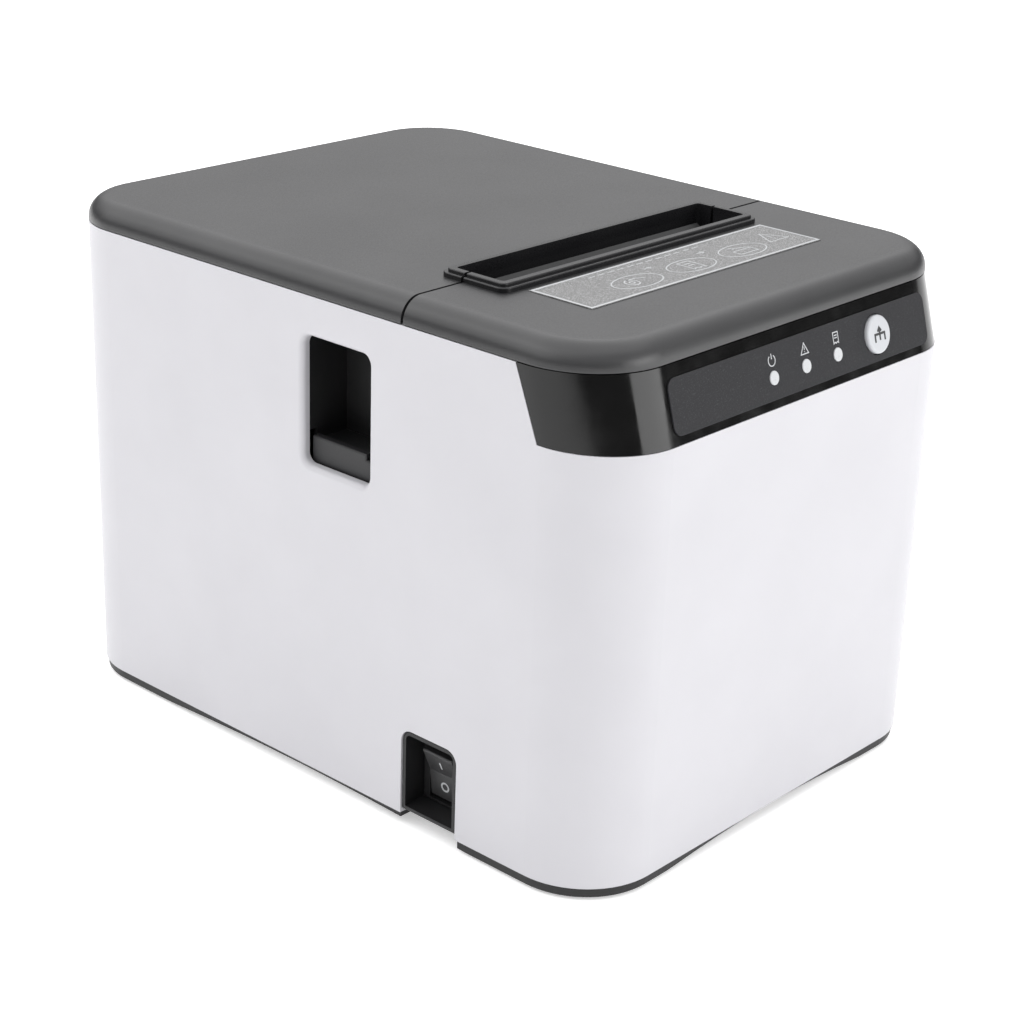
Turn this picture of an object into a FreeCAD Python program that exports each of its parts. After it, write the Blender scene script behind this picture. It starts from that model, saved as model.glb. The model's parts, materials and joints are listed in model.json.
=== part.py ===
import FreeCAD, Part
import math
import os
import re

import Sketcher

# A desktop receipt printer: +X right, +Y rear, +Z up, origin under the middle of the feet, mm.

doc = FreeCAD.newDocument("receipt_printer")
sheet = doc.addObject("Spreadsheet::Sheet", "dims")
NAMES = []


def dims(**values):
    """Add driving dimensions to the sheet, one row each, with the name as the alias."""
    for name, value in values.items():
        NAMES.append(name)
        row = len(NAMES)
        sheet.set(f"A{row}", name)
        sheet.set(f"B{row}", str(value))
        sheet.setAlias(f"B{row}", name)
    sheet.recompute()


def bound(text):
    """Turn a formula in sheet names into a FreeCAD expression."""
    return re.sub(r"[a-z][a-z0-9_]*", lambda word: "dims." + word.group(0)
                  if word.group(0) in NAMES else word.group(0), str(text))


KNOWN = {}


def number(text):
    """The present value of a formula, worked out by the sheet itself."""
    if text not in KNOWN:
        sheet.set("D1", f"={text}")
        sheet.recompute()
        KNOWN[text] = float(sheet.get("D1"))
    return KNOWN[text]


PIECES = []


def piece(label, shape_object):
    """Name a finished sub-part and list it for export."""
    shape_object.Label = label
    PIECES.append(shape_object)
    return shape_object


# ---- Primitives with bound sizes

def box(name, x, y, z):
    made = doc.addObject("Part::Box", name)
    for prop, axis, (low, high) in zip(("Length", "Width", "Height"), "xyz", (x, y, z)):
        made.setExpression(prop, bound(f"({high}) - ({low})"))
        made.setExpression(f"Placement.Base.{axis}", bound(low))
    return made


AXIS_TURN = {"x": ((0, 1, 0), 90), "y": ((1, 0, 0), -90), "z": ((0, 0, 1), 0)}


def place(made, at, axis):
    turn_axis, turn = AXIS_TURN[axis]
    made.Placement.Rotation = FreeCAD.Rotation(FreeCAD.Vector(*turn_axis), turn)
    for letter, formula in zip("xyz", at):
        made.setExpression(f"Placement.Base.{letter}", bound(formula))
    return made


def rod(name, radius, length, at, axis="z"):
    made = doc.addObject("Part::Cylinder", name)
    made.setExpression("Radius", bound(radius))
    made.setExpression("Height", bound(length))
    return place(made, at, axis)


def cone(name, radius_1, radius_2, length, at, axis="z"):
    made = doc.addObject("Part::Cone", name)
    made.setExpression("Radius1", bound(radius_1))
    made.setExpression("Radius2", bound(radius_2))
    made.setExpression("Height", bound(length))
    return place(made, at, axis)


def fuse(name, *parts):
    made = doc.addObject("Part::MultiFuse", name)
    made.Shapes = list(parts)
    return made


def cut(name, base, *tools):
    made = doc.addObject("Part::Cut", name)
    made.Base = base
    made.Tool = tools[0] if len(tools) == 1 else fuse(name + "_tools", *tools)
    return made


def common(name, base, tool):
    made = doc.addObject("Part::Common", name)
    made.Base = base
    made.Tool = tool
    return made


def group(name, *parts):
    """Separate solids that share one node."""
    made = doc.addObject("Part::Compound", name)
    made.Links = list(parts)
    return made


# ---- Part Design bodies from bound sketches

OUT_OF_PLANE = {"XY_Plane": 1, "XZ_Plane": -1, "YZ_Plane": 1}


def body(name):
    return doc.addObject("PartDesign::Body", name)


def plane_of(owner, role):
    return next(item for item in owner.Origin.OriginFeatures if item.Role == role)


def add_bound_constraints(sketch, joints, sizes):
    """Add plain constraints, then sized ones whose values follow their formulas."""
    first = sketch.ConstraintCount + len(joints)
    sketch.addConstraint(joints + [constraint for constraint, formula in sizes])
    for i, (constraint, formula) in enumerate(sizes):
        sketch.setExpression(f"Constraints[{first + i}]", bound(formula))


def pinned(geometry, end, x, y, spot):
    return [(Sketcher.Constraint("DistanceX", -1, 1, geometry, end, spot.x), x),
            (Sketcher.Constraint("DistanceY", -1, 1, geometry, end, spot.y), y)]


def add_loop(sketch, points):
    """A closed outline of straight lines with every corner placed by its formulas."""
    spots = [FreeCAD.Vector(number(x), number(y), 0) for x, y in points]
    first = sketch.GeometryCount
    total = len(points)
    sketch.addGeometry([Part.LineSegment(spots[i], spots[(i + 1) % total]) for i in range(total)], False)
    joints = [Sketcher.Constraint("Coincident", first + i, 2, first + (i + 1) % total, 1)
              for i in range(total)]
    sizes = []
    for i in range(total):
        sizes += pinned(first + i, 1, *points[i], spots[i])
    add_bound_constraints(sketch, joints, sizes)


def add_circle(sketch, x, y, radius):
    middle = FreeCAD.Vector(number(x), number(y), 0)
    circle = sketch.addGeometry(Part.Circle(middle, FreeCAD.Vector(0, 0, 1), number(radius)), False)
    sizes = pinned(circle, 3, x, y, middle)
    sizes.append((Sketcher.Constraint("Radius", circle, number(radius)), radius))
    add_bound_constraints(sketch, [], sizes)


def sketch_on(owner, plane, loops, level):
    sketch = owner.newObject("Sketcher::SketchObject", owner.Name + "_sketch")
    sketch.AttachmentSupport = [(plane_of(owner, plane), "")]
    sketch.MapMode = "FlatFace"
    sign = "" if OUT_OF_PLANE[plane] > 0 else "-"
    sketch.setExpression("AttachmentOffset.Base.z", bound(f"{sign}({level})"))
    for loop in loops:
        if loop[0] == "circle":
            add_circle(sketch, *loop[1:])
        else:
            add_loop(sketch, loop)
    return sketch


def pad(owner, plane, loops, low, high):
    """Add material between two levels of a plane's own world axis."""
    sketch = sketch_on(owner, plane, loops, low)
    made = owner.newObject("PartDesign::Pad", owner.Name + "_pad")
    made.Profile = sketch
    made.Reversed = OUT_OF_PLANE[plane] < 0
    made.setExpression("Length", bound(f"({high}) - ({low})"))
    return made


def pocket(owner, plane, loops, low, high):
    """Remove material between two levels of a plane's own world axis."""
    sketch = sketch_on(owner, plane, loops, low)
    made = owner.newObject("PartDesign::Pocket", owner.Name + "_pocket")
    made.Profile = sketch
    made.Reversed = OUT_OF_PLANE[plane] > 0
    made.setExpression("Length", bound(f"({high}) - ({low})"))
    return made


def fillet(owner, radius, chosen):
    """Round the tip's straight or curved edges that pass the test."""
    doc.recompute([owner])
    tip = owner.Tip
    names = [f"Edge{i + 1}" for i, edge in enumerate(tip.Shape.Edges) if chosen(edge)]
    made = owner.newObject("PartDesign::Fillet", owner.Name + "_fillet")
    made.Base = (tip, names)
    made.setExpression("Radius", bound(radius))
    return made


def rectangle(x, y):
    (left, right), (front, rear) = x, y
    return [(left, front), (right, front), (right, rear), (left, rear)]


def runs_along(axis):
    """A test for straight edges parallel to an axis, given as an index."""
    def test(edge):
        if len(edge.Vertexes) != 2:
            return False
        span = edge.Vertexes[1].Point - edge.Vertexes[0].Point
        return abs(abs(span[axis]) - edge.Length) < 1e-4
    return test


def at_level(axis, formula):
    """A test for edges lying wholly in one plane across an axis."""
    level = number(formula)

    def test(edge):
        bounds = edge.BoundBox
        low = (bounds.XMin, bounds.YMin, bounds.ZMin)[axis]
        high = (bounds.XMax, bounds.YMax, bounds.ZMax)[axis]
        return abs(low - level) < 1e-3 and abs(high - level) < 1e-3
    return test


def rounded_slab(name, x, y, z, radius):
    """A plate with rounded upright corners."""
    owner = body(name)
    pad(owner, "XY_Plane", [rectangle(x, y)], *z)
    fillet(owner, radius, runs_along(2))
    return owner


# ---- Driving sizes of the whole machine

dims(width=142, depth=194, corner_radius=21, shell_bottom=3.6, shell_height=127, shell_wall=2.5,
     part_gap=0.3, cover_height=6.1, cover_edge_radius=5.8, cover_wall=2.2, mech_x=-2)
FRONT, REAR, LEFT, RIGHT = "(-depth/2)", "(depth/2)", "(-width/2)", "(width/2)"
TOP = "(shell_bottom + shell_height)"
COVER_BOTTOM = f"({TOP} + part_gap)"
COVER_TOP = f"({TOP} + part_gap + cover_height)"
INNER_LEFT = "(-width/2 + shell_wall)"
INNER_X = (INNER_LEFT, "(width/2 - shell_wall)")

# Front bezel: leans back from the shell's front to the cover's front edge.
dims(bezel_height=17.6, bezel_lean=5.1, bezel_wall=2.5, bezel_side_top=-67.8, bezel_side_bottom=-74.9)
BEZEL_BOTTOM = f"({TOP} - bezel_height)"
COVER_FRONT = "(-depth/2 + bezel_lean)"
LEAN = math.degrees(math.atan2(number("bezel_lean"), number("bezel_height")))

# Cover hinge: a barrel along the cover's rear edge, concentric with its rounded edge.
HINGE_Y = "(depth/2 - cover_edge_radius)"
HINGE_Z = f"({COVER_TOP} - cover_edge_radius)"
dims(barrel_clearance=0.35, barrel_half=64.3)

# Cover release window and power switch notch, both in the left wall.
dims(window_front=-21.8, window_rear=1.2, window_low=87.3, window_high=120.4, window_radius=2.6,
     window_roll=1.5)
dims(notch_front=-53.1, notch_rear=-34.3, notch_top=27.5, notch_radius=3.5, notch_depth=8)

# Connector bay in the rear wall.
dims(bay_half=50, bay_low=6, bay_high=30, bay_depth=12, bay_wall=1.6)


# ---- Body shell

def body_shell():
    owner = body("shell_outer")
    pad(owner, "XY_Plane", [rectangle((LEFT, RIGHT), (FRONT, REAR))], "shell_bottom", TOP)
    fillet(owner, "corner_radius", runs_along(2))
    hollow = body("shell_hollow")
    pad(hollow, "XY_Plane", [rectangle(INNER_X, (f"{FRONT} + shell_wall", f"{REAR} - shell_wall"))],
        0, f"{COVER_TOP}")
    fillet(hollow, "corner_radius - shell_wall", runs_along(2))
    window = body("shell_window")
    pad(window, "YZ_Plane", [rectangle(("window_front", "window_rear"), ("window_low", "window_high"))],
        f"{LEFT} - 1", f"{INNER_LEFT} + 1")
    fillet(window, "window_radius", runs_along(0))
    notch = body("shell_notch")
    pad(notch, "YZ_Plane", [rectangle(("notch_front", "notch_rear"), ("0", "notch_top"))],
        f"{LEFT} - 1", f"{INNER_LEFT} + 1")
    fillet(notch, "notch_radius", lambda edge: runs_along(0)(edge) and edge.BoundBox.ZMin > 1)
    bezel_seat = body("shell_bezel_seat")
    pad(bezel_seat, "YZ_Plane", [[(f"{FRONT} - 1", BEZEL_BOTTOM), ("bezel_side_bottom", BEZEL_BOTTOM),
                                  ("bezel_side_top", TOP), ("bezel_side_top", f"{TOP} + 1"),
                                  (f"{FRONT} - 1", f"{TOP} + 1")]],
        f"{LEFT} - 1", f"{RIGHT} + 1")
    scoop = rod("shell_scoop", "cover_edge_radius + barrel_clearance", "2 * (barrel_half + 1)",
                ("-(barrel_half + 1)", HINGE_Y, HINGE_Z), "x")
    bay = box("shell_bay", ("-bay_half", "bay_half"), (f"{REAR} - shell_wall - 1", f"{REAR} + 1"),
              ("bay_low", "bay_high"))
    walls = cut("shell_walls", owner, hollow, window, notch, bezel_seat, scoop, bay)
    bosses = [rod(f"shell_boss_{i}", "boss_radius", "boss_height",
                  (f"{sx} * boss_x", f"{sy} * boss_y", "boss_bottom"))
              for i, (sx, sy) in enumerate(CORNERS)]
    bores = [rod(f"shell_bore_{i}", "screw_radius + 0.05", "boss_height - boss_cap",
                 (f"{sx} * boss_x", f"{sy} * boss_y", "boss_bottom"))
             for i, (sx, sy) in enumerate(CORNERS)]
    inside_corner = common("shell_bosses", fuse("shell_boss_set", *bosses), boss_limit())
    return cut("shell_bored", fuse("shell_solid", walls, inside_corner), *bores)


def boss_limit():
    """Keeps the bosses inside the shell's outer face."""
    owner = body("boss_limit")
    pad(owner, "XY_Plane", [rectangle((f"{LEFT} + 1", f"{RIGHT} - 1"), (f"{FRONT} + 1", f"{REAR} - 1"))],
        "boss_bottom", "boss_bottom + boss_height")
    fillet(owner, "corner_radius - 1", runs_along(2))
    return owner


CORNERS = ((-1, -1), (1, -1), (-1, 1), (1, 1))
dims(boss_x=61, boss_y=87, boss_radius=3.8, boss_bottom=6.2, boss_height=26, boss_cap=4, screw_radius=1.3,
     screw_head_radius=2.8, screw_head_height=1.6, screw_length=16)
shell = body_shell()


def rolled_window(shape_object):
    """Roll the outer edge of the release window inwards."""
    doc.recompute([shape_object])
    left = number(LEFT)
    made = doc.addObject("Part::Fillet", "shell_rolled")
    made.Base = shape_object
    chosen = []
    for i, edge in enumerate(shape_object.Shape.Edges):
        box_of = edge.BoundBox
        on_face = abs(box_of.XMin - left) < 1e-3 and abs(box_of.XMax - left) < 1e-3
        beside = box_of.YMin > number("window_front") - 0.1 and box_of.YMax < number("window_rear") + 0.1
        level = box_of.ZMin > number("window_low") - 0.1 and box_of.ZMax < number("window_high") + 0.1
        if on_face and beside and level:
            chosen.append((i + 1, number("window_roll"), number("window_roll")))
    made.Edges = chosen
    return made


piece("body_shell", rolled_window(shell))


# ---- Base plate, feet and screws

dims(base_low=0.8, base_inset=0.6, base_tray_top=6, tray_inset=0.3, arch_half_y=60, arch_rise_y=1.8,
     arch_half_x=44, arch_rise_x=2.2, base_edge=0.5, foot_radius=8, foot_x=47, foot_y=73, foot_recess=1.2,
     foot_sole=0.6, switch_clear=0.4, vent_pitch=7, vent_half=1.2, vent_front=-40, vent_rear=-12,
     screw_slot_half=1.5, screw_slot_wide=0.3)
VENTS = 9


def arch_cutter(name, half, rise, plane, reach):
    """A long shallow cylinder that arches the underside between the corner feet."""
    radius = f"(({half})^2 + ({rise})^2) / (2 * {rise})"
    level = f"base_low + {rise} - {radius}"
    if plane == "YZ_Plane":
        return rod(name, radius, f"2 * {reach}", (f"-({reach})", "0", level), "x")
    return rod(name, radius, f"2 * {reach}", ("0", f"-({reach})", level), "y")


def base_plate():
    skirt = rounded_slab("base_skirt", (f"{LEFT} + base_inset", f"{RIGHT} - base_inset"),
                         (f"{FRONT} + base_inset", f"{REAR} - base_inset"), ("base_low", "shell_bottom"),
                         "corner_radius - base_inset")
    fillet(skirt, "base_edge", at_level(2, "base_low"))
    inset = "(shell_wall + tray_inset)"
    tray = rounded_slab("base_tray", (f"{LEFT} + {inset}", f"{RIGHT} - {inset}"),
                        (f"{FRONT} + {inset}", f"{REAR} - {inset}"), ("shell_bottom", "base_tray_top"),
                        f"corner_radius - {inset}")
    cutters = [arch_cutter("base_side_arch", "arch_half_y", "arch_rise_y", "YZ_Plane", "width"),
               arch_cutter("base_front_arch", "arch_half_x", "arch_rise_x", "XZ_Plane", "depth"),
               box("base_switch_clear", (f"{LEFT} - 1", f"{LEFT} + notch_depth + 1.5"),
                   ("notch_front - switch_clear", "notch_rear + switch_clear"), ("0", "base_tray_top + 1"))]
    for i, (sx, sy) in enumerate(CORNERS):
        spot = (f"{sx} * boss_x", f"{sy} * boss_y")
        cutters.append(rod(f"base_hole_{i}", "screw_radius + 0.2", "base_tray_top + 1", (*spot, "0")))
        cutters.append(rod(f"base_sink_{i}", "screw_head_radius + 0.3", "base_low + screw_head_height + 0.2",
                           (*spot, "0")))
        cutters.append(rod(f"base_foot_seat_{i}", "foot_radius", "base_low + foot_recess",
                           (f"{sx} * foot_x", f"{sy} * foot_y", "0")))
    for i in range(VENTS):
        middle = f"{i - (VENTS - 1) / 2} * vent_pitch"
        cutters.append(box(f"base_vent_{i}", (f"{middle} - vent_half", f"{middle} + vent_half"),
                           ("vent_front", "vent_rear"), ("0", "base_tray_top + 1")))
    return cut("base_cut", fuse("base_blank", skirt, tray), *cutters)


piece("base_plate", base_plate())
feet = []
screws = []
for i, (sx, sy) in enumerate(CORNERS):
    at = (f"{sx} * foot_x", f"{sy} * foot_y")
    disc = rod(f"foot_disc_{i}", "foot_radius - 0.1", "base_low + foot_recess - foot_sole",
               (*at, "foot_sole"))
    sole = cone(f"foot_sole_{i}", "foot_radius - 0.8", "foot_radius - 0.1", "foot_sole", (*at, "0"))
    feet.append(fuse(f"foot_{i}", disc, sole))
    spot = (f"{sx} * boss_x", f"{sy} * boss_y")
    shank = rod(f"screw_shank_{i}", "screw_radius", "screw_length",
                (*spot, "base_low + 0.2 + screw_head_height"))
    head = rod(f"screw_head_{i}", "screw_head_radius", "screw_head_height - 0.2", (*spot, "base_low + 0.4"))
    arms = (("screw_slot_half", "screw_slot_wide"), ("screw_slot_wide", "screw_slot_half"))
    slots = [box(f"screw_slot_{i}_{turn}", (f"{spot[0]} - {a}", f"{spot[0]} + {a}"),
                 (f"{spot[1]} - {b}", f"{spot[1]} + {b}"), ("0", "base_low + 1.2"))
             for turn, (a, b) in enumerate(arms)]
    screws.append(cut(f"screw_{i}", fuse(f"screw_blank_{i}", shank, head), *slots))
piece("rubber_feet", group("feet", *feet))
piece("base_screws", group("screws", *screws))


# ---- Front bezel with its status panel

def bezel_block(name, inset, grow):
    """The bezel's outer or inner form: side profile with a leaning front and rounded corners."""
    owner = body(name)
    low, high = f"({BEZEL_BOTTOM} - {grow})", f"({TOP} + {grow})"
    lean = f"(bezel_lean * {grow} / bezel_height)"
    pad(owner, "YZ_Plane", [[(f"{FRONT} + {inset} - {lean}", low), ("-40", low), ("-40", high),
                             (f"{COVER_FRONT} + {inset} + {lean}", high)]],
        f"{LEFT} + {inset}", f"{RIGHT} - {inset}")
    fillet(owner, f"corner_radius - {inset}", leaning_front_corner)
    return owner


def leaning_front_corner(edge):
    bounds = edge.BoundBox
    upright = bounds.XMax - bounds.XMin < 1e-3 and bounds.ZMax - bounds.ZMin > 10
    return upright and bounds.YMax < -80


dims(panel_left=-49.3, panel_right=53, panel_low=2.1, panel_high=15.3, panel_radius=2.6, panel_thick=0.35,
     led_first_x=-11.4, led_pitch=12.9, led_up=7.3, led_radius=1.75, button_x=31.2, button_up=8.75,
     button_radius=4.8, button_clear=0.3, button_stroke=0.6, button_flange=0.8, button_proud=1,
     button_edge=0.7, stem_radius=1.6, stem_end=3.2, led_flange=0.6, led_proud=0.25, tongue_half=48, tongue_reach=3,
     tongue_root=1.3, tongue_thick=2, tongue_gap=0.2)
LED_X = [f"(led_first_x + {i} * led_pitch)" for i in range(3)]


def leaned(made):
    """Set a piece drawn upright at the origin onto the leaning face; its +Z then runs up the slope."""
    made.Placement.Rotation = FreeCAD.Rotation(FreeCAD.Vector(1, 0, 0), -LEAN)
    made.setExpression("Placement.Base.y", bound(FRONT))
    made.setExpression("Placement.Base.z", bound(BEZEL_BOTTOM))
    return made


def face_drill(name, x, up, radius, low, high):
    """A rod square to the leaning face; low and high are depths behind that face."""
    owner = body(name)
    pad(owner, "XZ_Plane", [("circle", x, up, radius)], low, high)
    return leaned(owner)


def front_bezel():
    outer = bezel_block("bezel_outer", "0", "0")
    inner = bezel_block("bezel_inner", "bezel_wall", "1")
    keep = body("bezel_keep")
    gap = "part_gap / 2"
    pad(keep, "YZ_Plane", [[(f"{FRONT} - 5", f"{BEZEL_BOTTOM} + {gap}"),
                            (f"bezel_side_bottom - {gap}", f"{BEZEL_BOTTOM} + {gap}"),
                            (f"bezel_side_top - {gap}", TOP), (f"{FRONT} - 5", TOP)]],
        f"{LEFT} - 1", f"{RIGHT} + 1")
    tongue_rear = f"{FRONT} + shell_wall + tongue_gap + tongue_thick"
    tongue = box("bezel_tongue", ("-tongue_half", "tongue_half"),
                 (f"{FRONT} + shell_wall + tongue_gap", tongue_rear),
                 (f"{BEZEL_BOTTOM} - tongue_reach", f"{BEZEL_BOTTOM} + tongue_root"))
    root = box("bezel_tongue_root", ("-tongue_half", "tongue_half"),
               (f"{FRONT} + shell_wall / 2", tongue_rear),
               (f"{BEZEL_BOTTOM} + {gap}", f"{BEZEL_BOTTOM} + tongue_root"))
    skin = common("bezel_skin", cut("bezel_shelled", outer, inner), keep)
    drills = [face_drill(f"bezel_led_hole_{i}", x, "led_up", "led_radius", "-1", "5")
              for i, x in enumerate(LED_X)]
    drills.append(face_drill("bezel_button_hole", "button_x", "button_up", "button_radius + button_clear",
                             "-1", "5"))
    return cut("bezel_drilled", fuse("bezel_blank", skin, tongue, root), *drills)


def panel_overlay():
    owner = body("panel_sheet")
    pad(owner, "XZ_Plane", [rectangle(("panel_left", "panel_right"), ("panel_low", "panel_high"))],
        "-panel_thick", "0")
    fillet(owner, "panel_radius", runs_along(1))
    holes = [("circle", x, "led_up", "led_radius + 0.05") for x in LED_X]
    holes.append(("circle", "button_x", "button_up", "button_radius + button_clear"))
    pocket(owner, "XZ_Plane", holes, "-panel_thick - 1", "1")
    return leaned(owner)


def led_lens(i, x):
    owner = body(f"led_lens_{i}")
    face = "-panel_thick - led_proud"
    pad(owner, "XZ_Plane", [("circle", x, "led_up", "led_radius - 0.05")], face, "bezel_wall + 0.5")
    pad(owner, "XZ_Plane", [("circle", x, "led_up", "led_radius + led_flange")], "bezel_wall + 0.02",
        "bezel_wall + 1")
    fillet(owner, "led_proud", at_level(1, face))
    return leaned(owner)


def feed_button():
    owner = body("button_cap")
    face = "-panel_thick - button_proud"
    pad(owner, "XZ_Plane", [("circle", "button_x", "button_up", "button_radius")], face, "bezel_wall + 0.4")
    fillet(owner, "button_edge", at_level(1, face))
    pad(owner, "XZ_Plane", [("circle", "button_x", "button_up", "button_radius + button_flange")],
        "bezel_wall + 0.4",
        "bezel_wall + 1.4")
    pad(owner, "XZ_Plane", [("circle", "button_x", "button_up", "stem_radius")], "bezel_wall + 1.4",
        "bezel_wall + stem_end")
    return leaned(owner)


dims(board_behind=8.4, board_thick=1.6, panel_board_left=-30, panel_board_right=46, panel_board_low=0.5,
     panel_board_high=15.5, board_hole_radius=1.6, board_hole_up=12.5, led_dome=1.2, tact_half=3,
     tact_high=1.5)
piece("front_bezel", front_bezel())
piece("panel_overlay", panel_overlay())
piece("led_lenses", group("lenses", *[led_lens(i, x) for i, x in enumerate(LED_X)]))
piece("feed_button", feed_button())


def panel_board():
    owner = body("panel_board_sheet")
    pad(owner, "XZ_Plane", [rectangle(("panel_board_left", "panel_board_right"),
                                      ("panel_board_low", "panel_board_high"))],
        "board_behind", "board_behind + board_thick")
    holes = [("circle", x, "board_hole_up", "board_hole_radius")
             for x in ("panel_board_left + 5", "panel_board_right - 4")]
    pocket(owner, "XZ_Plane", holes, "board_behind - 1", "board_behind + board_thick + 1")
    return leaned(owner)


def panel_led(i, x):
    owner = body(f"panel_led_{i}")
    pad(owner, "XZ_Plane", [("circle", x, "led_up", "1.5")], "bezel_wall + 1.4", "board_behind")
    pad(owner, "XZ_Plane", [("circle", x, "led_up", "1.9")], "board_behind - 1", "board_behind")
    fillet(owner, "led_dome", at_level(1, "bezel_wall + 1.4"))
    return leaned(owner)


def tact_switch():
    owner = body("tact_body")
    square = rectangle(("button_x - tact_half", "button_x + tact_half"),
                       ("button_up - tact_half", "button_up + tact_half"))
    pad(owner, "XZ_Plane", [square], "board_behind - tact_high", "board_behind")
    pad(owner, "XZ_Plane", [("circle", "button_x", "button_up", "stem_radius + 0.1")],
        "bezel_wall + stem_end + button_stroke", "board_behind - tact_high")
    return leaned(owner)


piece("panel_board", panel_board())
piece("panel_leds", group("panel_led_set", *[panel_led(i, x) for i, x in enumerate(LED_X)]))
piece("tact_switch", tact_switch())


# ---- Top covers, split across the machine

dims(split_y=-32.5, split_gap=0.8, rim_left=-51.1, rim_right=47.3, rim_front=-45.8, rim_rear=-24.9,
     rim_corner=2.6, rim_wall=2.8, rim_height=2, rim_step=0.8, rim_step_width=1.1, rim_edge=0.35,
     rim_drop=3)
RIM_TOP = f"({COVER_TOP} + rim_height)"
RIM_BOTTOM = f"({COVER_BOTTOM} - rim_drop)"
SPLIT_FRONT = "(split_y - split_gap / 2)"
SPLIT_REAR = "(split_y + split_gap / 2)"


def lid_form(name, low):
    """The covers' outer form: rounded in plan and along the top edge."""
    owner = body(name)
    pad(owner, "XY_Plane", [rectangle((LEFT, RIGHT), (COVER_FRONT, REAR))], low, COVER_TOP)
    fillet(owner, "corner_radius", runs_along(2))
    fillet(owner, "cover_edge_radius", at_level(2, COVER_TOP))
    return owner


def cover_block():
    """Both covers in one: a shallow lid with a rounded edge and a hole for the slot frame."""
    owner = lid_form("cover_block", COVER_BOTTOM)
    inset = "(cover_wall + 0.4)"
    hollow = rounded_slab("cover_hollow", (f"{LEFT} + {inset}", f"{RIGHT} - {inset}"),
                          (f"{COVER_FRONT} + {inset}", f"{REAR} - 11"),
                          (f"{COVER_BOTTOM} - 1", f"{COVER_TOP} - cover_wall"), f"corner_radius - {inset}")
    opening = rounded_slab("cover_rim_opening", ("rim_left", "rim_right"), ("rim_front", "rim_rear"),
                           (f"{COVER_BOTTOM} - 1", f"{COVER_TOP} + 1"), "rim_corner")
    return cut("cover_hollowed", owner, hollow, opening)


def side_of_split(name, source, front):
    y = ("-depth", SPLIT_FRONT) if front else (SPLIT_REAR, "depth")
    return common(name, source, box(name + "_half", ("-width", "width"), y, ("0", "3 * cover_height + 150")))


def rim_block():
    """The raised frame around the paper slot, with a stepped top edge."""
    low = rounded_slab("rim_low", ("rim_left", "rim_right"), ("rim_front", "rim_rear"),
                       (RIM_BOTTOM, f"{RIM_TOP} - rim_step"), "rim_corner")
    fillet(low, "rim_edge", at_level(2, f"{RIM_TOP} - rim_step"))
    step = "rim_step_width"
    high = rounded_slab("rim_high", (f"rim_left + {step}", f"rim_right - {step}"),
                        (f"rim_front + {step}", f"rim_rear - {step}"), (f"{RIM_TOP} - rim_step", RIM_TOP),
                        f"rim_corner - {step}")
    fillet(high, "rim_edge", at_level(2, RIM_TOP))
    hole = rounded_slab("rim_hole", ("rim_left + rim_wall", "rim_right - rim_wall"),
                        ("rim_front + rim_wall", "rim_rear - rim_wall"),
                        (f"{RIM_BOTTOM} - 1", f"{RIM_TOP} + 1"),
                        "1")
    return cut("rim_ring", fuse("rim_stepped", low, high), hole)


# Hinge pins, brackets and the slots they need in the barrel.
dims(bracket_x=43.5, bracket_half=2.2, bracket_round=3, pin_radius=1.5, pin_half=6.5, running_gap=0.05,
     slot_gap=0.4, slot_over=0.7, slot_front=9, rib_half=0.8, cross_rib_y=30, bracket_plate_half=6.2,
     bracket_plate_thick=2, bracket_foot=98, bracket_plate_top=112, bracket_knee=122, bracket_shoulder=126,
     bracket_toe=2.4)


def hinge_barrel():
    blank = rod("barrel_blank", "cover_edge_radius", "2 * barrel_half", ("-barrel_half", HINGE_Y, HINGE_Z),
                "x")
    return common("barrel_trimmed", blank, lid_form("barrel_outline", f"{TOP} - 10"))


def paper_cover():
    rib_z = (f"{COVER_BOTTOM} + 0.6", f"{COVER_TOP} - cover_wall + 0.2")
    ribs = [box(f"cover_rib_{i}", (f"{x} - rib_half", f"{x} + rib_half"), ("-14", f"{REAR} - 13"), rib_z)
            for i, x in enumerate((-56, -20, 16, 52))]
    cross = box("cover_cross_rib", ("-66", "66"), ("cross_rib_y", "cross_rib_y + 2 * rib_half"), rib_z)
    blank = fuse("cover_blank", side_of_split("cover_rear_half", cover_source, False), hinge_barrel(),
                 *ribs, cross)
    cuts = []
    for i, side in enumerate((-1, 1)):
        reach = "(bracket_half + slot_gap)"
        cuts.append(box(f"cover_slot_{i}",
                        (f"{side} * bracket_x - {reach}", f"{side} * bracket_x + {reach}"),
                        (f"{HINGE_Y} - slot_front", f"{REAR} + 1"),
                        (f"{TOP} - 10", f"{HINGE_Z} + bracket_round + slot_over")))
        cuts.append(rod(f"cover_pin_bore_{i}", "pin_radius", "2 * pin_half",
                        (f"{side} * bracket_x - pin_half", HINGE_Y, HINGE_Z), "x"))
    return cut("cover_slotted", blank, *cuts)


cover_source = cover_block()
piece("front_cover", side_of_split("cover_front_half", cover_source, True))
rim_source = rim_block()
piece("front_rim", side_of_split("rim_front_half", rim_source, True))
piece("rear_rim", side_of_split("rim_rear_half", rim_source, False))
piece("paper_cover", paper_cover())

dims(label_left=-44.8, label_right=44.8, label_front=-67.2, label_rear=-47.9, label_thick=0.2)
piece("instruction_label", box("label_film", ("label_left", "label_right"), ("label_front", "label_rear"),
                               (COVER_TOP, f"{COVER_TOP} + label_thick")))

pins = [rod(f"hinge_pin_{i}", "pin_radius", "2 * pin_half",
            (f"{side} * bracket_x - pin_half", HINGE_Y, HINGE_Z), "x") for i, side in enumerate((-1, 1))]
piece("hinge_pins", group("hinge_pin_set", *pins))


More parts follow.
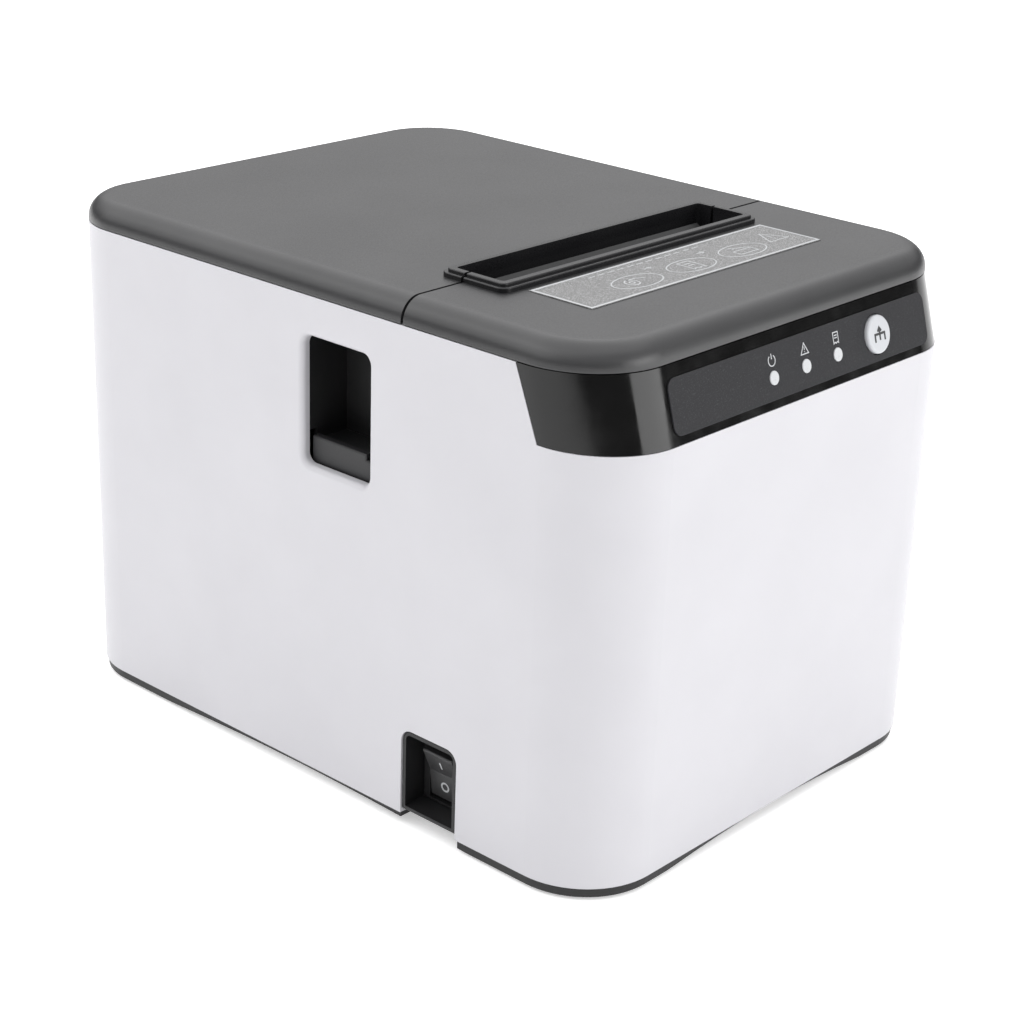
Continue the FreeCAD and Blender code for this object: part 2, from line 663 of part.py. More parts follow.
def hinge_bracket(i, side):
    """An upright from the rear wall to the hinge pin."""
    wall = f"({REAR} - shell_wall)"
    x = (f"{side} * bracket_x - bracket_half", f"{side} * bracket_x + bracket_half")
    owner = body(f"bracket_arm_{i}")
    front, rear = f"{HINGE_Y} - bracket_round", f"{HINGE_Y} + bracket_round"
    pad(owner, "YZ_Plane", [[(wall, "bracket_foot"), (wall, "bracket_knee"), (rear, "bracket_shoulder"),
                             (rear, HINGE_Z), (front, HINGE_Z), (front, "bracket_plate_top"),
                             (f"{wall} - bracket_toe", "bracket_foot")]], *x)
    head = rod(f"bracket_head_{i}", "bracket_round", "2 * bracket_half", (x[0], HINGE_Y, HINGE_Z), "x")
    bore = rod(f"bracket_bore_{i}", "pin_radius + running_gap", "2 * bracket_half + 2",
               (f"{x[0]} - 1", HINGE_Y, HINGE_Z), "x")
    plate = box(f"bracket_plate_{i}",
                (f"{side} * bracket_x - bracket_plate_half", f"{side} * bracket_x + bracket_plate_half"),
                (f"{wall} - bracket_plate_thick", wall), ("bracket_foot", "bracket_plate_top"))
    return cut(f"bracket_{i}", fuse(f"bracket_blank_{i}", owner, head, plate), bore)


piece("hinge_brackets", group("hinge_bracket_set", *[hinge_bracket(i, s) for i, s in enumerate((-1, 1))]))


# ---- Platen unit, carried by the paper cover

dims(platen_y=-25.5, platen_z=118, platen_radius=6, platen_half=41, shaft_radius=2.5, left_cheek=-49,
     right_cheek=51.2, cheek_thick=2, eye_radius=5, cheek_reach=11, beam_high=4.5, bush_radius=4.2,
     bush_inner=44.1, bush_outer=45.9)
CHEEK_LEFT = ("mech_x + left_cheek", "mech_x + left_cheek + cheek_thick")
CHEEK_RIGHT = ("mech_x + right_cheek", "mech_x + right_cheek + cheek_thick")


def platen_holder():
    """Two cheeks and a beam under the lid, with an eye at each end for the platen's shaft."""
    roof = f"({COVER_TOP} - cover_wall)"
    parts = []
    bores = []
    for i, x in enumerate((CHEEK_LEFT, CHEEK_RIGHT)):
        owner = body(f"holder_cheek_{i}")
        pad(owner, "YZ_Plane",
            [[("platen_y - eye_radius", "platen_z"), ("platen_y + eye_radius", "platen_z"),
              ("platen_y + cheek_reach", roof), ("rim_rear", roof), ("rim_rear", RIM_BOTTOM),
              ("platen_y - eye_radius", RIM_BOTTOM)]], *x)
        parts.append(owner)
        parts.append(rod(f"holder_eye_{i}", "eye_radius", "cheek_thick", (x[0], "platen_y", "platen_z"),
                         "x"))
        bores.append(rod(f"holder_bore_{i}", "shaft_radius + running_gap", "cheek_thick + 2",
                         (f"{x[0]} - 1", "platen_y", "platen_z"), "x"))
    beam = box("holder_beam", (CHEEK_LEFT[0], CHEEK_RIGHT[1]), ("rim_rear", "platen_y + cheek_reach"),
               (f"{roof} - beam_high", roof))
    return cut("holder_bored", fuse("holder_blank", beam, *parts), *bores)


def centred_on(half, extra="0"):
    return (f"mech_x - {half} - {extra}", f"mech_x + {half} + {extra}")


def platen_parts():
    axis = ("platen_y", "platen_z")
    sleeve = rod("platen_sleeve", "platen_radius", "2 * platen_half", ("mech_x - platen_half", *axis), "x")
    bore = rod("platen_sleeve_bore", "shaft_radius", "2 * platen_half", ("mech_x - platen_half", *axis), "x")
    piece("platen_roller", cut("platen_rubber", sleeve, bore))
    piece("platen_shaft", rod("platen_spindle", "shaft_radius", "right_cheek + cheek_thick - left_cheek",
                              (CHEEK_LEFT[0], *axis), "x"))
    bushes = []
    for i, start in enumerate(("mech_x - bush_outer", "mech_x + bush_inner")):
        ring = rod(f"bush_ring_{i}", "bush_radius", "bush_outer - bush_inner", (start, *axis), "x")
        hole = rod(f"bush_hole_{i}", "shaft_radius + running_gap", "bush_outer - bush_inner",
                   (start, *axis), "x")
        bushes.append(cut(f"bush_{i}", ring, hole))
    piece("platen_bushes", group("platen_bush_set", *bushes))


piece("platen_holder", platen_holder())
platen_parts()

# The fixed cutter blade and the paper guide bar hang from the cover, behind the paper path.
dims(fixed_blade_z=127.1, blade_thick=0.8, fixed_blade_front=-31.3, fixed_blade_rear=-25.2, blade_half=40.5,
     guide_front=-31.2, guide_ridge=-30, guide_front_top=133.8, guide_top=134.6, guide_rear_top=133.4)


def fixed_blade():
    owner = body("fixed_blade_plate")
    pad(owner, "YZ_Plane", [[("fixed_blade_front", "fixed_blade_z"), ("fixed_blade_rear", "fixed_blade_z"),
                             ("fixed_blade_rear", "fixed_blade_z + blade_thick"),
                             ("fixed_blade_front + 1", "fixed_blade_z + blade_thick")]],
        "mech_x - blade_half", "mech_x + blade_half")
    return owner


def exit_guide():
    """A ribbed bar that steers the paper up through the slot."""
    owner = body("guide_bar")
    low = "fixed_blade_z + blade_thick"
    pad(owner, "YZ_Plane", [[("guide_front", low), ("rim_rear - rim_wall", low),
                             ("rim_rear - rim_wall", "guide_rear_top"), ("guide_ridge", "guide_top"),
                             ("guide_front", "guide_front_top")]],
        "mech_x - blade_half - 3", "mech_x + blade_half + 3")
    return owner


piece("fixed_blade", fixed_blade())
piece("exit_guide", exit_guide())


# ---- Gears: a root disc with straight-flanked teeth

dims(gear_module=0.7, gear_start=46.5, gear_wide=4, platen_teeth=14, idler_teeth=28, pinion_teeth=12,
     tooth_at_root=0.6, tooth_at_tip=0.2, addendum=0.75, dedendum=1.1)


def gear(name, teeth, module, bore, phase, solid_length):
    """A gear about its own Z axis; its first tooth points along +X turned by the phase."""
    owner = body(name)
    pitch_radius = f"({teeth} * {module} / 2)"
    root = f"({pitch_radius} - dedendum * {module})"
    tip = f"({pitch_radius} + addendum * {module})"
    pitch = f"(pi * {module})".replace("pi", str(math.pi))
    pad(owner, "XY_Plane", [("circle", "0", "0", root)], "0", solid_length)
    half_root = f"({pitch} * tooth_at_root / 2)"
    half_tip = f"({pitch} * tooth_at_tip / 2)"
    tooth = pad(owner, "XY_Plane", [[(f"{root} - 0.6 * {module}", f"-{half_root}"), (tip, f"-{half_tip}"),
                                     (tip, half_tip), (f"{root} - 0.6 * {module}", half_root)]],
                "0", solid_length)
    doc.recompute([owner])
    pattern = owner.newObject("PartDesign::PolarPattern", name + "_teeth")
    pattern.Originals = [tooth]
    pattern.Axis = (plane_of(owner, "Z_Axis"), [""])
    pattern.Angle = 360
    pattern.Occurrences = int(number(teeth))
    owner.Tip = pattern
    if bore != "0":
        pocket(owner, "XY_Plane", [("circle", "0", "0", bore)], "-1", f"{solid_length} + 1")
    owner.Placement.Rotation = FreeCAD.Rotation(FreeCAD.Vector(0, 0, 1), phase)
    return owner


def gear_on_x(owner, x, y, z, phase):
    """Lay a gear's axis along X, its zero direction along +Y, turned by the phase towards +Z."""
    lay = FreeCAD.Rotation(FreeCAD.Vector(0, 1, 0), FreeCAD.Vector(0, 0, 1), FreeCAD.Vector(1, 0, 0), "ZXY")
    turn = FreeCAD.Rotation(FreeCAD.Vector(0, 0, 1), phase)
    owner.Placement.Rotation = lay.multiply(turn)
    for letter, formula in zip("xyz", (x, y, z)):
        owner.setExpression(f"Placement.Base.{letter}", bound(formula))
    return owner


IDLER_Z = "(platen_z - (platen_teeth + idler_teeth) * gear_module / 2)"
MOTOR_Y = "(platen_y - (pinion_teeth + idler_teeth) * gear_module / 2)"
GEAR_X = "(mech_x + gear_start)"
HALF_PINION_PITCH = 360 / 12 / 2
platen_gear = gear("platen_gear_wheel", "platen_teeth", "gear_module", "shaft_radius", 0, "gear_wide")
piece("platen_gear", gear_on_x(platen_gear, GEAR_X, "platen_y", "platen_z", 0))
dims(axle_radius=1.5)
idler = gear("idler_wheel", "idler_teeth", "gear_module", "axle_radius + running_gap", 0, "gear_wide")
piece("idler_gear", gear_on_x(idler, GEAR_X, "platen_y", IDLER_Z, 0))
pinion = gear("pinion_wheel", "pinion_teeth", "gear_module", "0", 0, "gear_wide")
piece("motor_pinion", gear_on_x(pinion, GEAR_X, MOTOR_Y, IDLER_Z, HALF_PINION_PITCH))


# ---- Mechanism frame and what is fixed to it

dims(plate_inner=44.3, plate_thick=1.2, frame_front=-56, frame_rear=-15, frame_low=84, frame_top=126,
     latch_y=-27, latch_z=90, latch_radius=1.9, frame_floor_rear=-33, motor_radius=8.2, motor_long=23,
     motor_shaft_radius=0.75,
     motor_shaft_tail=3, motor_hole=2.4)
PLATE_RIGHT = ("mech_x + plate_inner", "mech_x + plate_inner + plate_thick")
PLATE_LEFT = ("mech_x - plate_inner - plate_thick", "mech_x - plate_inner")


def mechanism_frame():
    owner = body("frame_side_blank")
    low_slot = "platen_z - bush_radius - 0.4"
    pad(owner, "YZ_Plane", [[("frame_front", "frame_low"), ("frame_rear", "frame_low"),
                             ("frame_rear", "frame_top - 8"), ("platen_y + bush_radius + 0.4", "frame_top"),
                             ("platen_y + bush_radius + 0.4", low_slot),
                             ("platen_y - bush_radius - 1.2", low_slot),
                             ("platen_y - bush_radius - 1.2", "frame_top"), ("frame_front", "frame_top")]],
        PLATE_LEFT[0], PLATE_RIGHT[1])
    inside = box("frame_inside", (PLATE_LEFT[1], PLATE_RIGHT[0]), ("frame_front - 1", "frame_rear + 1"),
                 ("frame_low - 1", "frame_top + 1"))
    sides = cut("frame_sides", owner, inside)
    floor = box("frame_floor", (PLATE_LEFT[1], PLATE_RIGHT[0]), ("frame_front", "frame_floor_rear"),
                ("frame_low", "frame_low + plate_thick"))
    front = box("frame_front_wall", (PLATE_LEFT[1], PLATE_RIGHT[0]),
                ("frame_front", "frame_front + plate_thick"), ("frame_low", "frame_top - 3"))
    holes = [rod("frame_latch_hole", "latch_radius + running_gap", "100",
                 ("mech_x - 50", "latch_y", "latch_z"), "x"),
             rod("frame_motor_hole", "motor_hole", "10", ("mech_x + 40", MOTOR_Y, IDLER_Z), "x"),
             rod("frame_axle_hole", "axle_radius", "10", ("mech_x + 40", "platen_y", IDLER_Z), "x")]
    return cut("frame_bored", fuse("frame_blank", sides, floor, front), *holes)


piece("mechanism_frame", mechanism_frame())
motor_can = rod("motor_can", "motor_radius", "motor_long",
                ("mech_x + plate_inner - motor_long", MOTOR_Y, IDLER_Z), "x")
motor_bore = rod("motor_bore", "motor_shaft_radius + running_gap", "motor_long + 2",
                 ("mech_x + plate_inner - motor_long + 1", MOTOR_Y, IDLER_Z), "x")
piece("feed_motor", cut("motor_bored", motor_can, motor_bore))
piece("motor_shaft", rod("motor_spindle", "motor_shaft_radius",
                         "motor_long - motor_shaft_tail + gear_start - plate_inner",
                         ("mech_x + plate_inner - motor_long + motor_shaft_tail", MOTOR_Y, IDLER_Z), "x"))
piece("idler_axle", rod("idler_spindle", "axle_radius", "gear_start + gear_wide + 1 - plate_inner",
                        ("mech_x + plate_inner", "platen_y", IDLER_Z), "x"))

# Print head: a ceramic line on a finned heatsink, pressed back by two springs.
dims(head_gap=0.35, head_low=112.5, head_high=124.3, ceramic_thick=1, heatsink_thick=4, head_half=41,
     heatsink_extra=2.5, groove_deep=1.8, groove_first=1.6, groove_high=1.4, groove_pitch=3.2)
HEAD_REAR = "(platen_y - platen_radius - head_gap)"
ceramic = box("head_ceramic", centred_on("head_half"), (f"{HEAD_REAR} - ceramic_thick", HEAD_REAR),
              ("head_low", "head_high"))
piece("print_head", ceramic)


def heatsink():
    """An aluminium bar with three grooves along its front."""
    front = f"({HEAD_REAR} - ceramic_thick - heatsink_thick)"
    block = box("heatsink_block", centred_on("head_half", "heatsink_extra"),
                (front, f"{HEAD_REAR} - ceramic_thick"), ("head_low", "head_high"))
    grooves = []
    for i in range(3):
        low = f"head_low + groove_first + {i} * groove_pitch"
        grooves.append(box(f"heatsink_groove_{i}", centred_on("head_half", "heatsink_extra + 1"),
                           (f"{front} - 1", f"{front} + groove_deep"), (low, f"{low} + groove_high")))
    return cut("heatsink_grooved", block, *grooves)


piece("head_heatsink", heatsink())


def coil(name, radius, wire, pitch, length, at, axis):
    """A coil spring: a round wire swept along a helix."""
    helix = doc.addObject("Part::Helix", name + "_helix")
    helix.setExpression("Pitch", bound(pitch))
    helix.setExpression("Height", bound(length))
    helix.setExpression("Radius", bound(radius))
    ring = doc.addObject("Part::Circle", name + "_wire")
    ring.setExpression("Radius", bound(wire))
    ring.setExpression("Placement.Base.x", bound(radius))
    ring.Placement.Rotation = FreeCAD.Rotation(FreeCAD.Vector(1, 0, 0), 90)
    made = doc.addObject("Part::Sweep", name)
    made.Sections = [ring]
    made.Spine = (helix, ["Edge1"])
    made.Solid = True
    made.Frenet = True
    return place(made, at, axis)


dims(spring_radius=2.4, spring_wire=0.3, spring_pitch=1.9, spring_x=24, spring_z=118)
SPRING_FRONT = "(frame_front + plate_thick + spring_wire + 0.05)"
SPRING_LONG = f"({HEAD_REAR} - ceramic_thick - heatsink_thick - spring_wire - 0.05 - {SPRING_FRONT})"
head_springs = [coil(f"head_spring_{i}", "spring_radius", "spring_wire", "spring_pitch", SPRING_LONG,
                     (f"mech_x + {side} * spring_x", SPRING_FRONT, "spring_z"), "y")
                for i, side in enumerate((-1, 1))]
piece("head_springs", group("head_spring_set", *head_springs))


# ---- Cutter: a sliding blade driven by a rack and pinion

dims(cutter_frame_thick=1.2, cutter_plate_z=124.7, cutter_plate_front=-82.5, cutter_plate_rear=-36.5,
     cutter_lip_top=127.6, moving_blade_z=126.2, moving_blade_front=-58, moving_blade_edge=-34.6,
     blade_extra=1.2, moving_blade_thick=0.75, blade_dip=1.6, lip_inner=42.2, lip_outer=43.9, lip_front=-50,
     lip_rear=-40, cutter_hole=3.2, rack_high=2.6, rack_rise=0.76, rack_x=14, rack_half=2.2, rack_front=-83,
     rack_module=0.8, cutter_teeth=12,
     cutter_y=-71, cutter_stroke=6)
RACK_PITCH = f"({math.pi} * rack_module)"
RACK_Z = ("moving_blade_z + rack_rise", "moving_blade_z + rack_rise + rack_high")
CUTTER_X = "(rack_x + rack_half + cutter_teeth * rack_module / 2 )"


def cutter_frame():
    plate = box("cutter_plate", ("mech_x - plate_inner + 0.2", "mech_x + plate_inner - 0.2"),
                ("cutter_plate_front", "cutter_plate_rear"),
                ("cutter_plate_z", "cutter_plate_z + cutter_frame_thick"))
    sides = (("mech_x - lip_outer", "mech_x - lip_inner"), ("mech_x + lip_inner", "mech_x + lip_outer"))
    lips = [box(f"cutter_lip_{i}", x, ("lip_front", "lip_rear"), ("cutter_plate_z", "cutter_lip_top"))
            for i, x in enumerate(sides)]
    hole = rod("cutter_motor_hole", "cutter_hole", "10", (CUTTER_X, "cutter_y", "cutter_plate_z - 5"))
    return cut("cutter_frame_cut", fuse("cutter_frame_blank", plate, *lips), hole)


def moving_blade():
    owner = body("moving_blade_plate")
    edge = "moving_blade_edge"
    left, right = centred_on("blade_half", "blade_extra")
    pad(owner, "XY_Plane", [[(left, "moving_blade_front"), (right, "moving_blade_front"), (right, edge),
                             ("mech_x", f"{edge} - blade_dip"), (left, edge)]],
        "moving_blade_z", "moving_blade_z + moving_blade_thick")
    return owner


def cutter_rack():
    """A bar under the front cover, toothed along the side that faces the pinion."""
    owner = body("rack_bar")
    root = "(rack_x + rack_half - dedendum * rack_module)"
    tip = "(rack_x + rack_half + addendum * rack_module)"
    pad(owner, "XY_Plane",
        [rectangle(("rack_x - rack_half", root), ("rack_front", "rim_front - cutter_stroke - 0.6"))],
        *RACK_Z)
    half_root = f"({RACK_PITCH} * tooth_at_root / 2)"
    half_tip = f"({RACK_PITCH} * tooth_at_tip / 2)"
    teeth = []
    for i in range(-4, 2):
        middle = f"(cutter_y + {i + 0.5} * {RACK_PITCH})"
        teeth.append([(f"{root} - 0.2", f"{middle} - {half_root}"), (tip, f"{middle} - {half_tip}"),
                      (tip, f"{middle} + {half_tip}"), (f"{root} - 0.2", f"{middle} + {half_root}")])
    for tooth in teeth:
        pad(owner, "XY_Plane", [tooth], *RACK_Z)
    return owner


piece("cutter_frame", cutter_frame())
piece("moving_blade", moving_blade())
piece("cutter_rack", cutter_rack())
dims(cutter_can_radius=8, cutter_can_long=24, cutter_can_low=100.5, cutter_shaft_low=106,
     cutter_shaft_radius=1)
PINION_LOW = "(moving_blade_z + moving_blade_thick + 0.05)"
cutter_pinion = gear("cutter_pinion_wheel", "cutter_teeth", "rack_module", "0", 0, "rack_high")
for letter, formula in zip("xyz", (CUTTER_X, "cutter_y", PINION_LOW)):
    cutter_pinion.setExpression(f"Placement.Base.{letter}", bound(formula))
piece("cutter_pinion", cutter_pinion)
cutter_can = rod("cutter_can", "cutter_can_radius", "cutter_can_long",
                 (CUTTER_X, "cutter_y", "cutter_can_low"))
cutter_bore = rod("cutter_bore", "cutter_shaft_radius + running_gap", "cutter_can_long",
                  (CUTTER_X, "cutter_y", "cutter_shaft_low - 2"))
piece("cutter_motor", cut("cutter_motor_bored", cutter_can, cutter_bore))
piece("cutter_shaft", rod("cutter_spindle", "cutter_shaft_radius", f"{PINION_LOW} - cutter_shaft_low",
                          (CUTTER_X, "cutter_y", "cutter_shaft_low")))

# Serrated tear bar along the front of the slot.
dims(tear_pitch=1.5, tear_count=58, tear_root=-42.4, tear_tip=-41, tear_low=136.9, tear_thick=0.9)


def tear_bar():
    owner = body("tear_strip")
    pitch = number("tear_pitch")
    total = int(number("tear_count"))
    outline = [(f"mech_x + {total / 2} * tear_pitch", "rim_front + rim_wall"),
               (f"mech_x - {total / 2} * tear_pitch", "rim_front + rim_wall")]
    for i in range(total):
        outline.append((f"mech_x + {(i - total / 2)} * tear_pitch", "tear_root"))
        outline.append((f"mech_x + {(i - total / 2 + 0.5)} * tear_pitch", "tear_tip"))
    outline.append((f"mech_x + {total / 2} * tear_pitch", "tear_root"))
    pad(owner, "XY_Plane", [outline], "tear_low", "tear_low + tear_thick")
    return owner


piece("tear_bar", tear_bar())


# ---- Cover release: lever, latch shaft and hooks turn together

dims(paddle_x=-68, paddle_thick=1.9, paddle_low=82, paddle_top=94.1, paddle_step=92.6, paddle_front=-21.3,
     paddle_step_y=-18.2, paddle_rear=0.5, paddle_edge=0.5, shelf_thick=2.5, shelf_rear=-7, lever_thick=3,
     hub_radius=4.8, liner_wall=1.2,
     liner_floor=92.5, liner_back=-55.8, hook_inner=41.7, hook_thick=2, hook_rear=-17.6, hook_front=-21,
     hook_knee=108, hook_low=121.2, hook_top=123.6, latch_left=-53)


def release_lever():
    face = body("paddle_face")
    pad(face, "YZ_Plane", [[("paddle_front", "paddle_low"), ("paddle_rear", "paddle_low"),
                            ("paddle_rear", "paddle_top"), ("paddle_step_y", "paddle_top"),
                            ("paddle_step_y", "paddle_step"), ("paddle_front", "paddle_step")]],
        "paddle_x", "paddle_x + paddle_thick")
    outer = at_level(0, "paddle_x")
    fillet(face, "paddle_edge", lambda edge: outer(edge) and edge.BoundBox.ZMin > number("paddle_low") + 1)
    left, right = "latch_left - 1", "latch_left - 1 + lever_thick"
    shelf = box("paddle_shelf", ("paddle_x", right), ("paddle_front", "shelf_rear"),
                ("paddle_low", "paddle_low + shelf_thick"))
    arm = body("lever_arm")
    pad(arm, "YZ_Plane", [[("latch_y - 4.2", "latch_z"), ("latch_y + 2", "paddle_low"),
                           ("shelf_rear", "paddle_low"), ("shelf_rear", "paddle_low + shelf_thick"),
                           ("latch_y + 4.2", "latch_z + 2")]], left, right)
    hub = rod("lever_hub", "hub_radius", "lever_thick", (left, "latch_y", "latch_z"), "x")
    bore = rod("lever_bore", "latch_radius", "lever_thick", (left, "latch_y", "latch_z"), "x")
    return cut("lever_bored", fuse("lever_blank", face, shelf, arm, hub), bore)


def latch_hook(i, low):
    x = (low, f"{low} + hook_thick")
    owner = body(f"hook_plate_{i}")
    pad(owner, "YZ_Plane", [[("latch_y - 1", "latch_z"), ("latch_y + 4.4", "latch_z - 1"),
                             ("hook_rear", "hook_knee"), ("hook_rear", "hook_top"),
                             ("platen_y - 1", "hook_top"),
                             ("platen_y - 1.8", "hook_low"), ("hook_front", "hook_low"),
                             ("hook_front", "hook_knee")]], *x)
    hub = rod(f"hook_hub_{i}", "hub_radius", "hook_thick", (low, "latch_y", "latch_z"), "x")
    bore = rod(f"hook_bore_{i}", "latch_radius", "hook_thick", (low, "latch_y", "latch_z"), "x")
    return cut(f"hook_{i}", fuse(f"hook_blank_{i}", owner, hub), bore)


def lever_recess():
    """The open-fronted box behind the window; its floor stops short of the paddle."""
    wall = "liner_wall"
    front, rear = "window_front - 0.2", "window_rear + 0.2"
    upper = box("recess_upper", (f"{INNER_LEFT} + 0.05", f"liner_back + {wall}"),
                (f"{front} - {wall}", f"{rear} + {wall}"),
                ("paddle_top + 1.2", f"window_high + 0.2 + {wall}"))
    lower = box("recess_lower", ("paddle_x + paddle_thick + 0.4", f"liner_back + {wall}"),
                (f"{front} - {wall}", f"{rear} + {wall}"), (f"liner_floor - {wall}", "paddle_top + 1.2"))
    space = box("recess_space", (f"{INNER_LEFT} - 1", "liner_back"), (front, rear),
                ("liner_floor", "window_high + 0.2"))
    return cut("recess_hollowed", fuse("recess_blank", upper, lower), space)


def latch_leaf():
    """A bent strip from the bucket's front wall to the left hook; it pushes the hook over the shaft."""
    owner = body("leaf_strip")
    seat = "(bucket_y - bucket_radius - bucket_wall - leaf_gap)"
    thick = "leaf_thick"
    pad(owner, "YZ_Plane", [[(seat, "leaf_low"), (seat, "leaf_bend"), ("leaf_tip_y", "leaf_tip_z"),
                             (f"leaf_tip_y - {thick} / 2", f"leaf_tip_z - {thick}"),
                             (f"{seat} - {thick}", f"leaf_bend - {thick}"),
                             (f"{seat} - {thick}", "leaf_low")]],
        "mech_x - hook_inner - hook_thick", "mech_x - hook_inner")
    return owner


dims(leaf_gap=0.05, leaf_thick=0.4, leaf_low=88, leaf_bend=96, leaf_tip_y=-18.1, leaf_tip_z=105,
     bucket_radius=42,
     bucket_y=35, bucket_wall=1.8)
piece("lever_recess", lever_recess())
piece("release_lever", release_lever())
piece("latch_shaft", rod("latch_spindle", "latch_radius",
                         "mech_x + plate_inner + plate_thick + 1 - latch_left",
                         ("latch_left", "latch_y", "latch_z"), "x"))
piece("latch_hooks", group("latch_hook_set", latch_hook(0, "mech_x - hook_inner - hook_thick"),
                           latch_hook(1, "mech_x + hook_inner")))
piece("latch_spring", latch_leaf())


# ---- Power switch in its black surround

SWITCH_X = "(-width/2 + notch_depth)"
SWITCH_Y = "((notch_front + notch_rear) / 2)"
dims(switch_z=15.6, bezel_half_y=7.4, bezel_half_z=10.4, switch_bezel_thick=1.6, rocker_half_y=4.9,
     rocker_half_z=7.2, surround_lip=1.4, surround_bottom=4.8, surround_edge=0.5, switch_can_half_y=6.4,
     switch_can_half_z=9.1, switch_can_deep=14, well_deep=7.5, rocker_nose=0.5, rocker_pivot_in=2.4,
     pivot_radius=0.9,
     pivot_half=5.9)
ROCKER_PIVOT_X = f"({SWITCH_X} - switch_bezel_thick + rocker_pivot_in)"


def switch_surround():
    lip = body("surround_lip_blank")
    pad(lip, "YZ_Plane", [rectangle(("notch_front + 0.1", "notch_rear - 0.1"),
                                    ("surround_bottom", "notch_top - 0.1"))],
        f"{LEFT} + 0.3", f"{SWITCH_X} + 1.4")
    fillet(lip, "notch_radius - 0.1", lambda edge: runs_along(0)(edge) and edge.BoundBox.ZMin > 10)
    fillet(lip, "surround_edge", at_level(0, f"{LEFT} + 0.3"))
    space = body("surround_space")
    pad(space, "YZ_Plane", [rectangle(("notch_front + surround_lip", "notch_rear - surround_lip"),
                                      ("surround_bottom + 1.2", "notch_top - surround_lip"))],
        f"{LEFT} - 1", SWITCH_X)
    fillet(space, "1.4", lambda edge: runs_along(0)(edge) and edge.BoundBox.ZMin > 10)
    ramp = body("surround_ramp")
    low = "surround_bottom + 1.2"
    pad(ramp, "XZ_Plane", [[(f"{LEFT} + 1.4", low), (SWITCH_X, low), (SWITCH_X, f"{low} + 0.6")]],
        "notch_front + 1", "notch_rear - 1")
    hole = box("surround_hole", (f"{SWITCH_X} - 1", f"{SWITCH_X} + 3"),
               (f"{SWITCH_Y} - switch_can_half_y - 0.2", f"{SWITCH_Y} + switch_can_half_y + 0.2"),
               ("switch_z - switch_can_half_z - 0.2", "switch_z + switch_can_half_z + 0.2"))
    return cut("surround_holed", fuse("surround_blank", cut("surround_hollow", lip, space), ramp), hole)


def switch_body():
    frame_x = (f"{SWITCH_X} - switch_bezel_thick", SWITCH_X)
    rim = box("switch_frame", frame_x, (f"{SWITCH_Y} - bezel_half_y", f"{SWITCH_Y} + bezel_half_y"),
              ("switch_z - bezel_half_z + 1.6", "switch_z + bezel_half_z - 0.4"))
    can = box("switch_can", (SWITCH_X, f"{SWITCH_X} + switch_can_deep"),
              (f"{SWITCH_Y} - switch_can_half_y", f"{SWITCH_Y} + switch_can_half_y"),
              ("switch_z - switch_can_half_z", "switch_z + switch_can_half_z"))
    well = box("switch_well", (f"{SWITCH_X} - 3", f"{SWITCH_X} + well_deep"),
               (f"{SWITCH_Y} - rocker_half_y - 0.4", f"{SWITCH_Y} + rocker_half_y + 0.4"),
               ("switch_z - rocker_half_z - 1", "switch_z + rocker_half_z + 1"))
    return cut("switch_hollow", fuse("switch_blank", rim, can), well,
               rod("switch_pivot_bore", "pivot_radius + running_gap", "2 * (pivot_half + 0.2)",
                   (ROCKER_PIVOT_X, f"{SWITCH_Y} - pivot_half - 0.2", "switch_z"), "y"))


def switch_rocker():
    """Two flat faces meeting over the pivot; drawn tilted, with its upper end proud."""
    owner = body("rocker_profile")
    out = f"({SWITCH_X} - switch_bezel_thick)"
    y = (f"{SWITCH_Y} - rocker_half_y", f"{SWITCH_Y} + rocker_half_y")
    pad(owner, "XZ_Plane",
        [[(f"{out} - 3.4", "switch_z + rocker_half_z - 0.6"), (f"{out} - 0.6", "switch_z + 0.2"),
          (f"{out} + 0.3", "switch_z - rocker_half_z"), (f"{out} + 3.6", "switch_z - rocker_half_z + 1.2"),
          (f"{out} + 6", "switch_z"), (f"{out} + 3.2", "switch_z + rocker_half_z - 1.2"),
          (out, "switch_z + rocker_half_z")]], *y)
    fillet(owner, "rocker_nose", lambda edge: runs_along(1)(edge) and edge.BoundBox.XMax < number(out) - 3)
    pivot = rod("rocker_pivot", "pivot_radius", "2 * pivot_half",
                (ROCKER_PIVOT_X, f"{SWITCH_Y} - pivot_half", "switch_z"), "y")
    return fuse("rocker_with_pivot", owner, pivot)


dims(tab_half_y=2.4, tab_half_z=0.4, tab_long=8)
piece("switch_surround", switch_surround())
piece("switch_body", switch_body())
piece("switch_rocker", switch_rocker())
tabs = [box(f"switch_tab_{i}", (f"{SWITCH_X} + switch_can_deep", f"{SWITCH_X} + switch_can_deep + tab_long"),
            (f"{SWITCH_Y} - tab_half_y", f"{SWITCH_Y} + tab_half_y"),
            (f"switch_z + {z} - tab_half_z", f"switch_z + {z} + tab_half_z")) for i, z in enumerate((-5, 3))]
piece("switch_terminals", group("switch_tab_set", *tabs))


# ---- Paper bucket with the shelf and legs that carry the mechanism

dims(bucket_z=86, bucket_half=41, bucket_top=127, bucket_front_top=106, bucket_front_cut=-34, leg_top=62,
     shelf_low=80.4, leg_size=4, sensor_half=5, lens_half=2, sensor_rear=-6.2, sensor_low=66)
LEG_SPOTS = ((-48, -58), (44, -58), (-42, 14), (38, 14), (-42, 56), (38, 56))


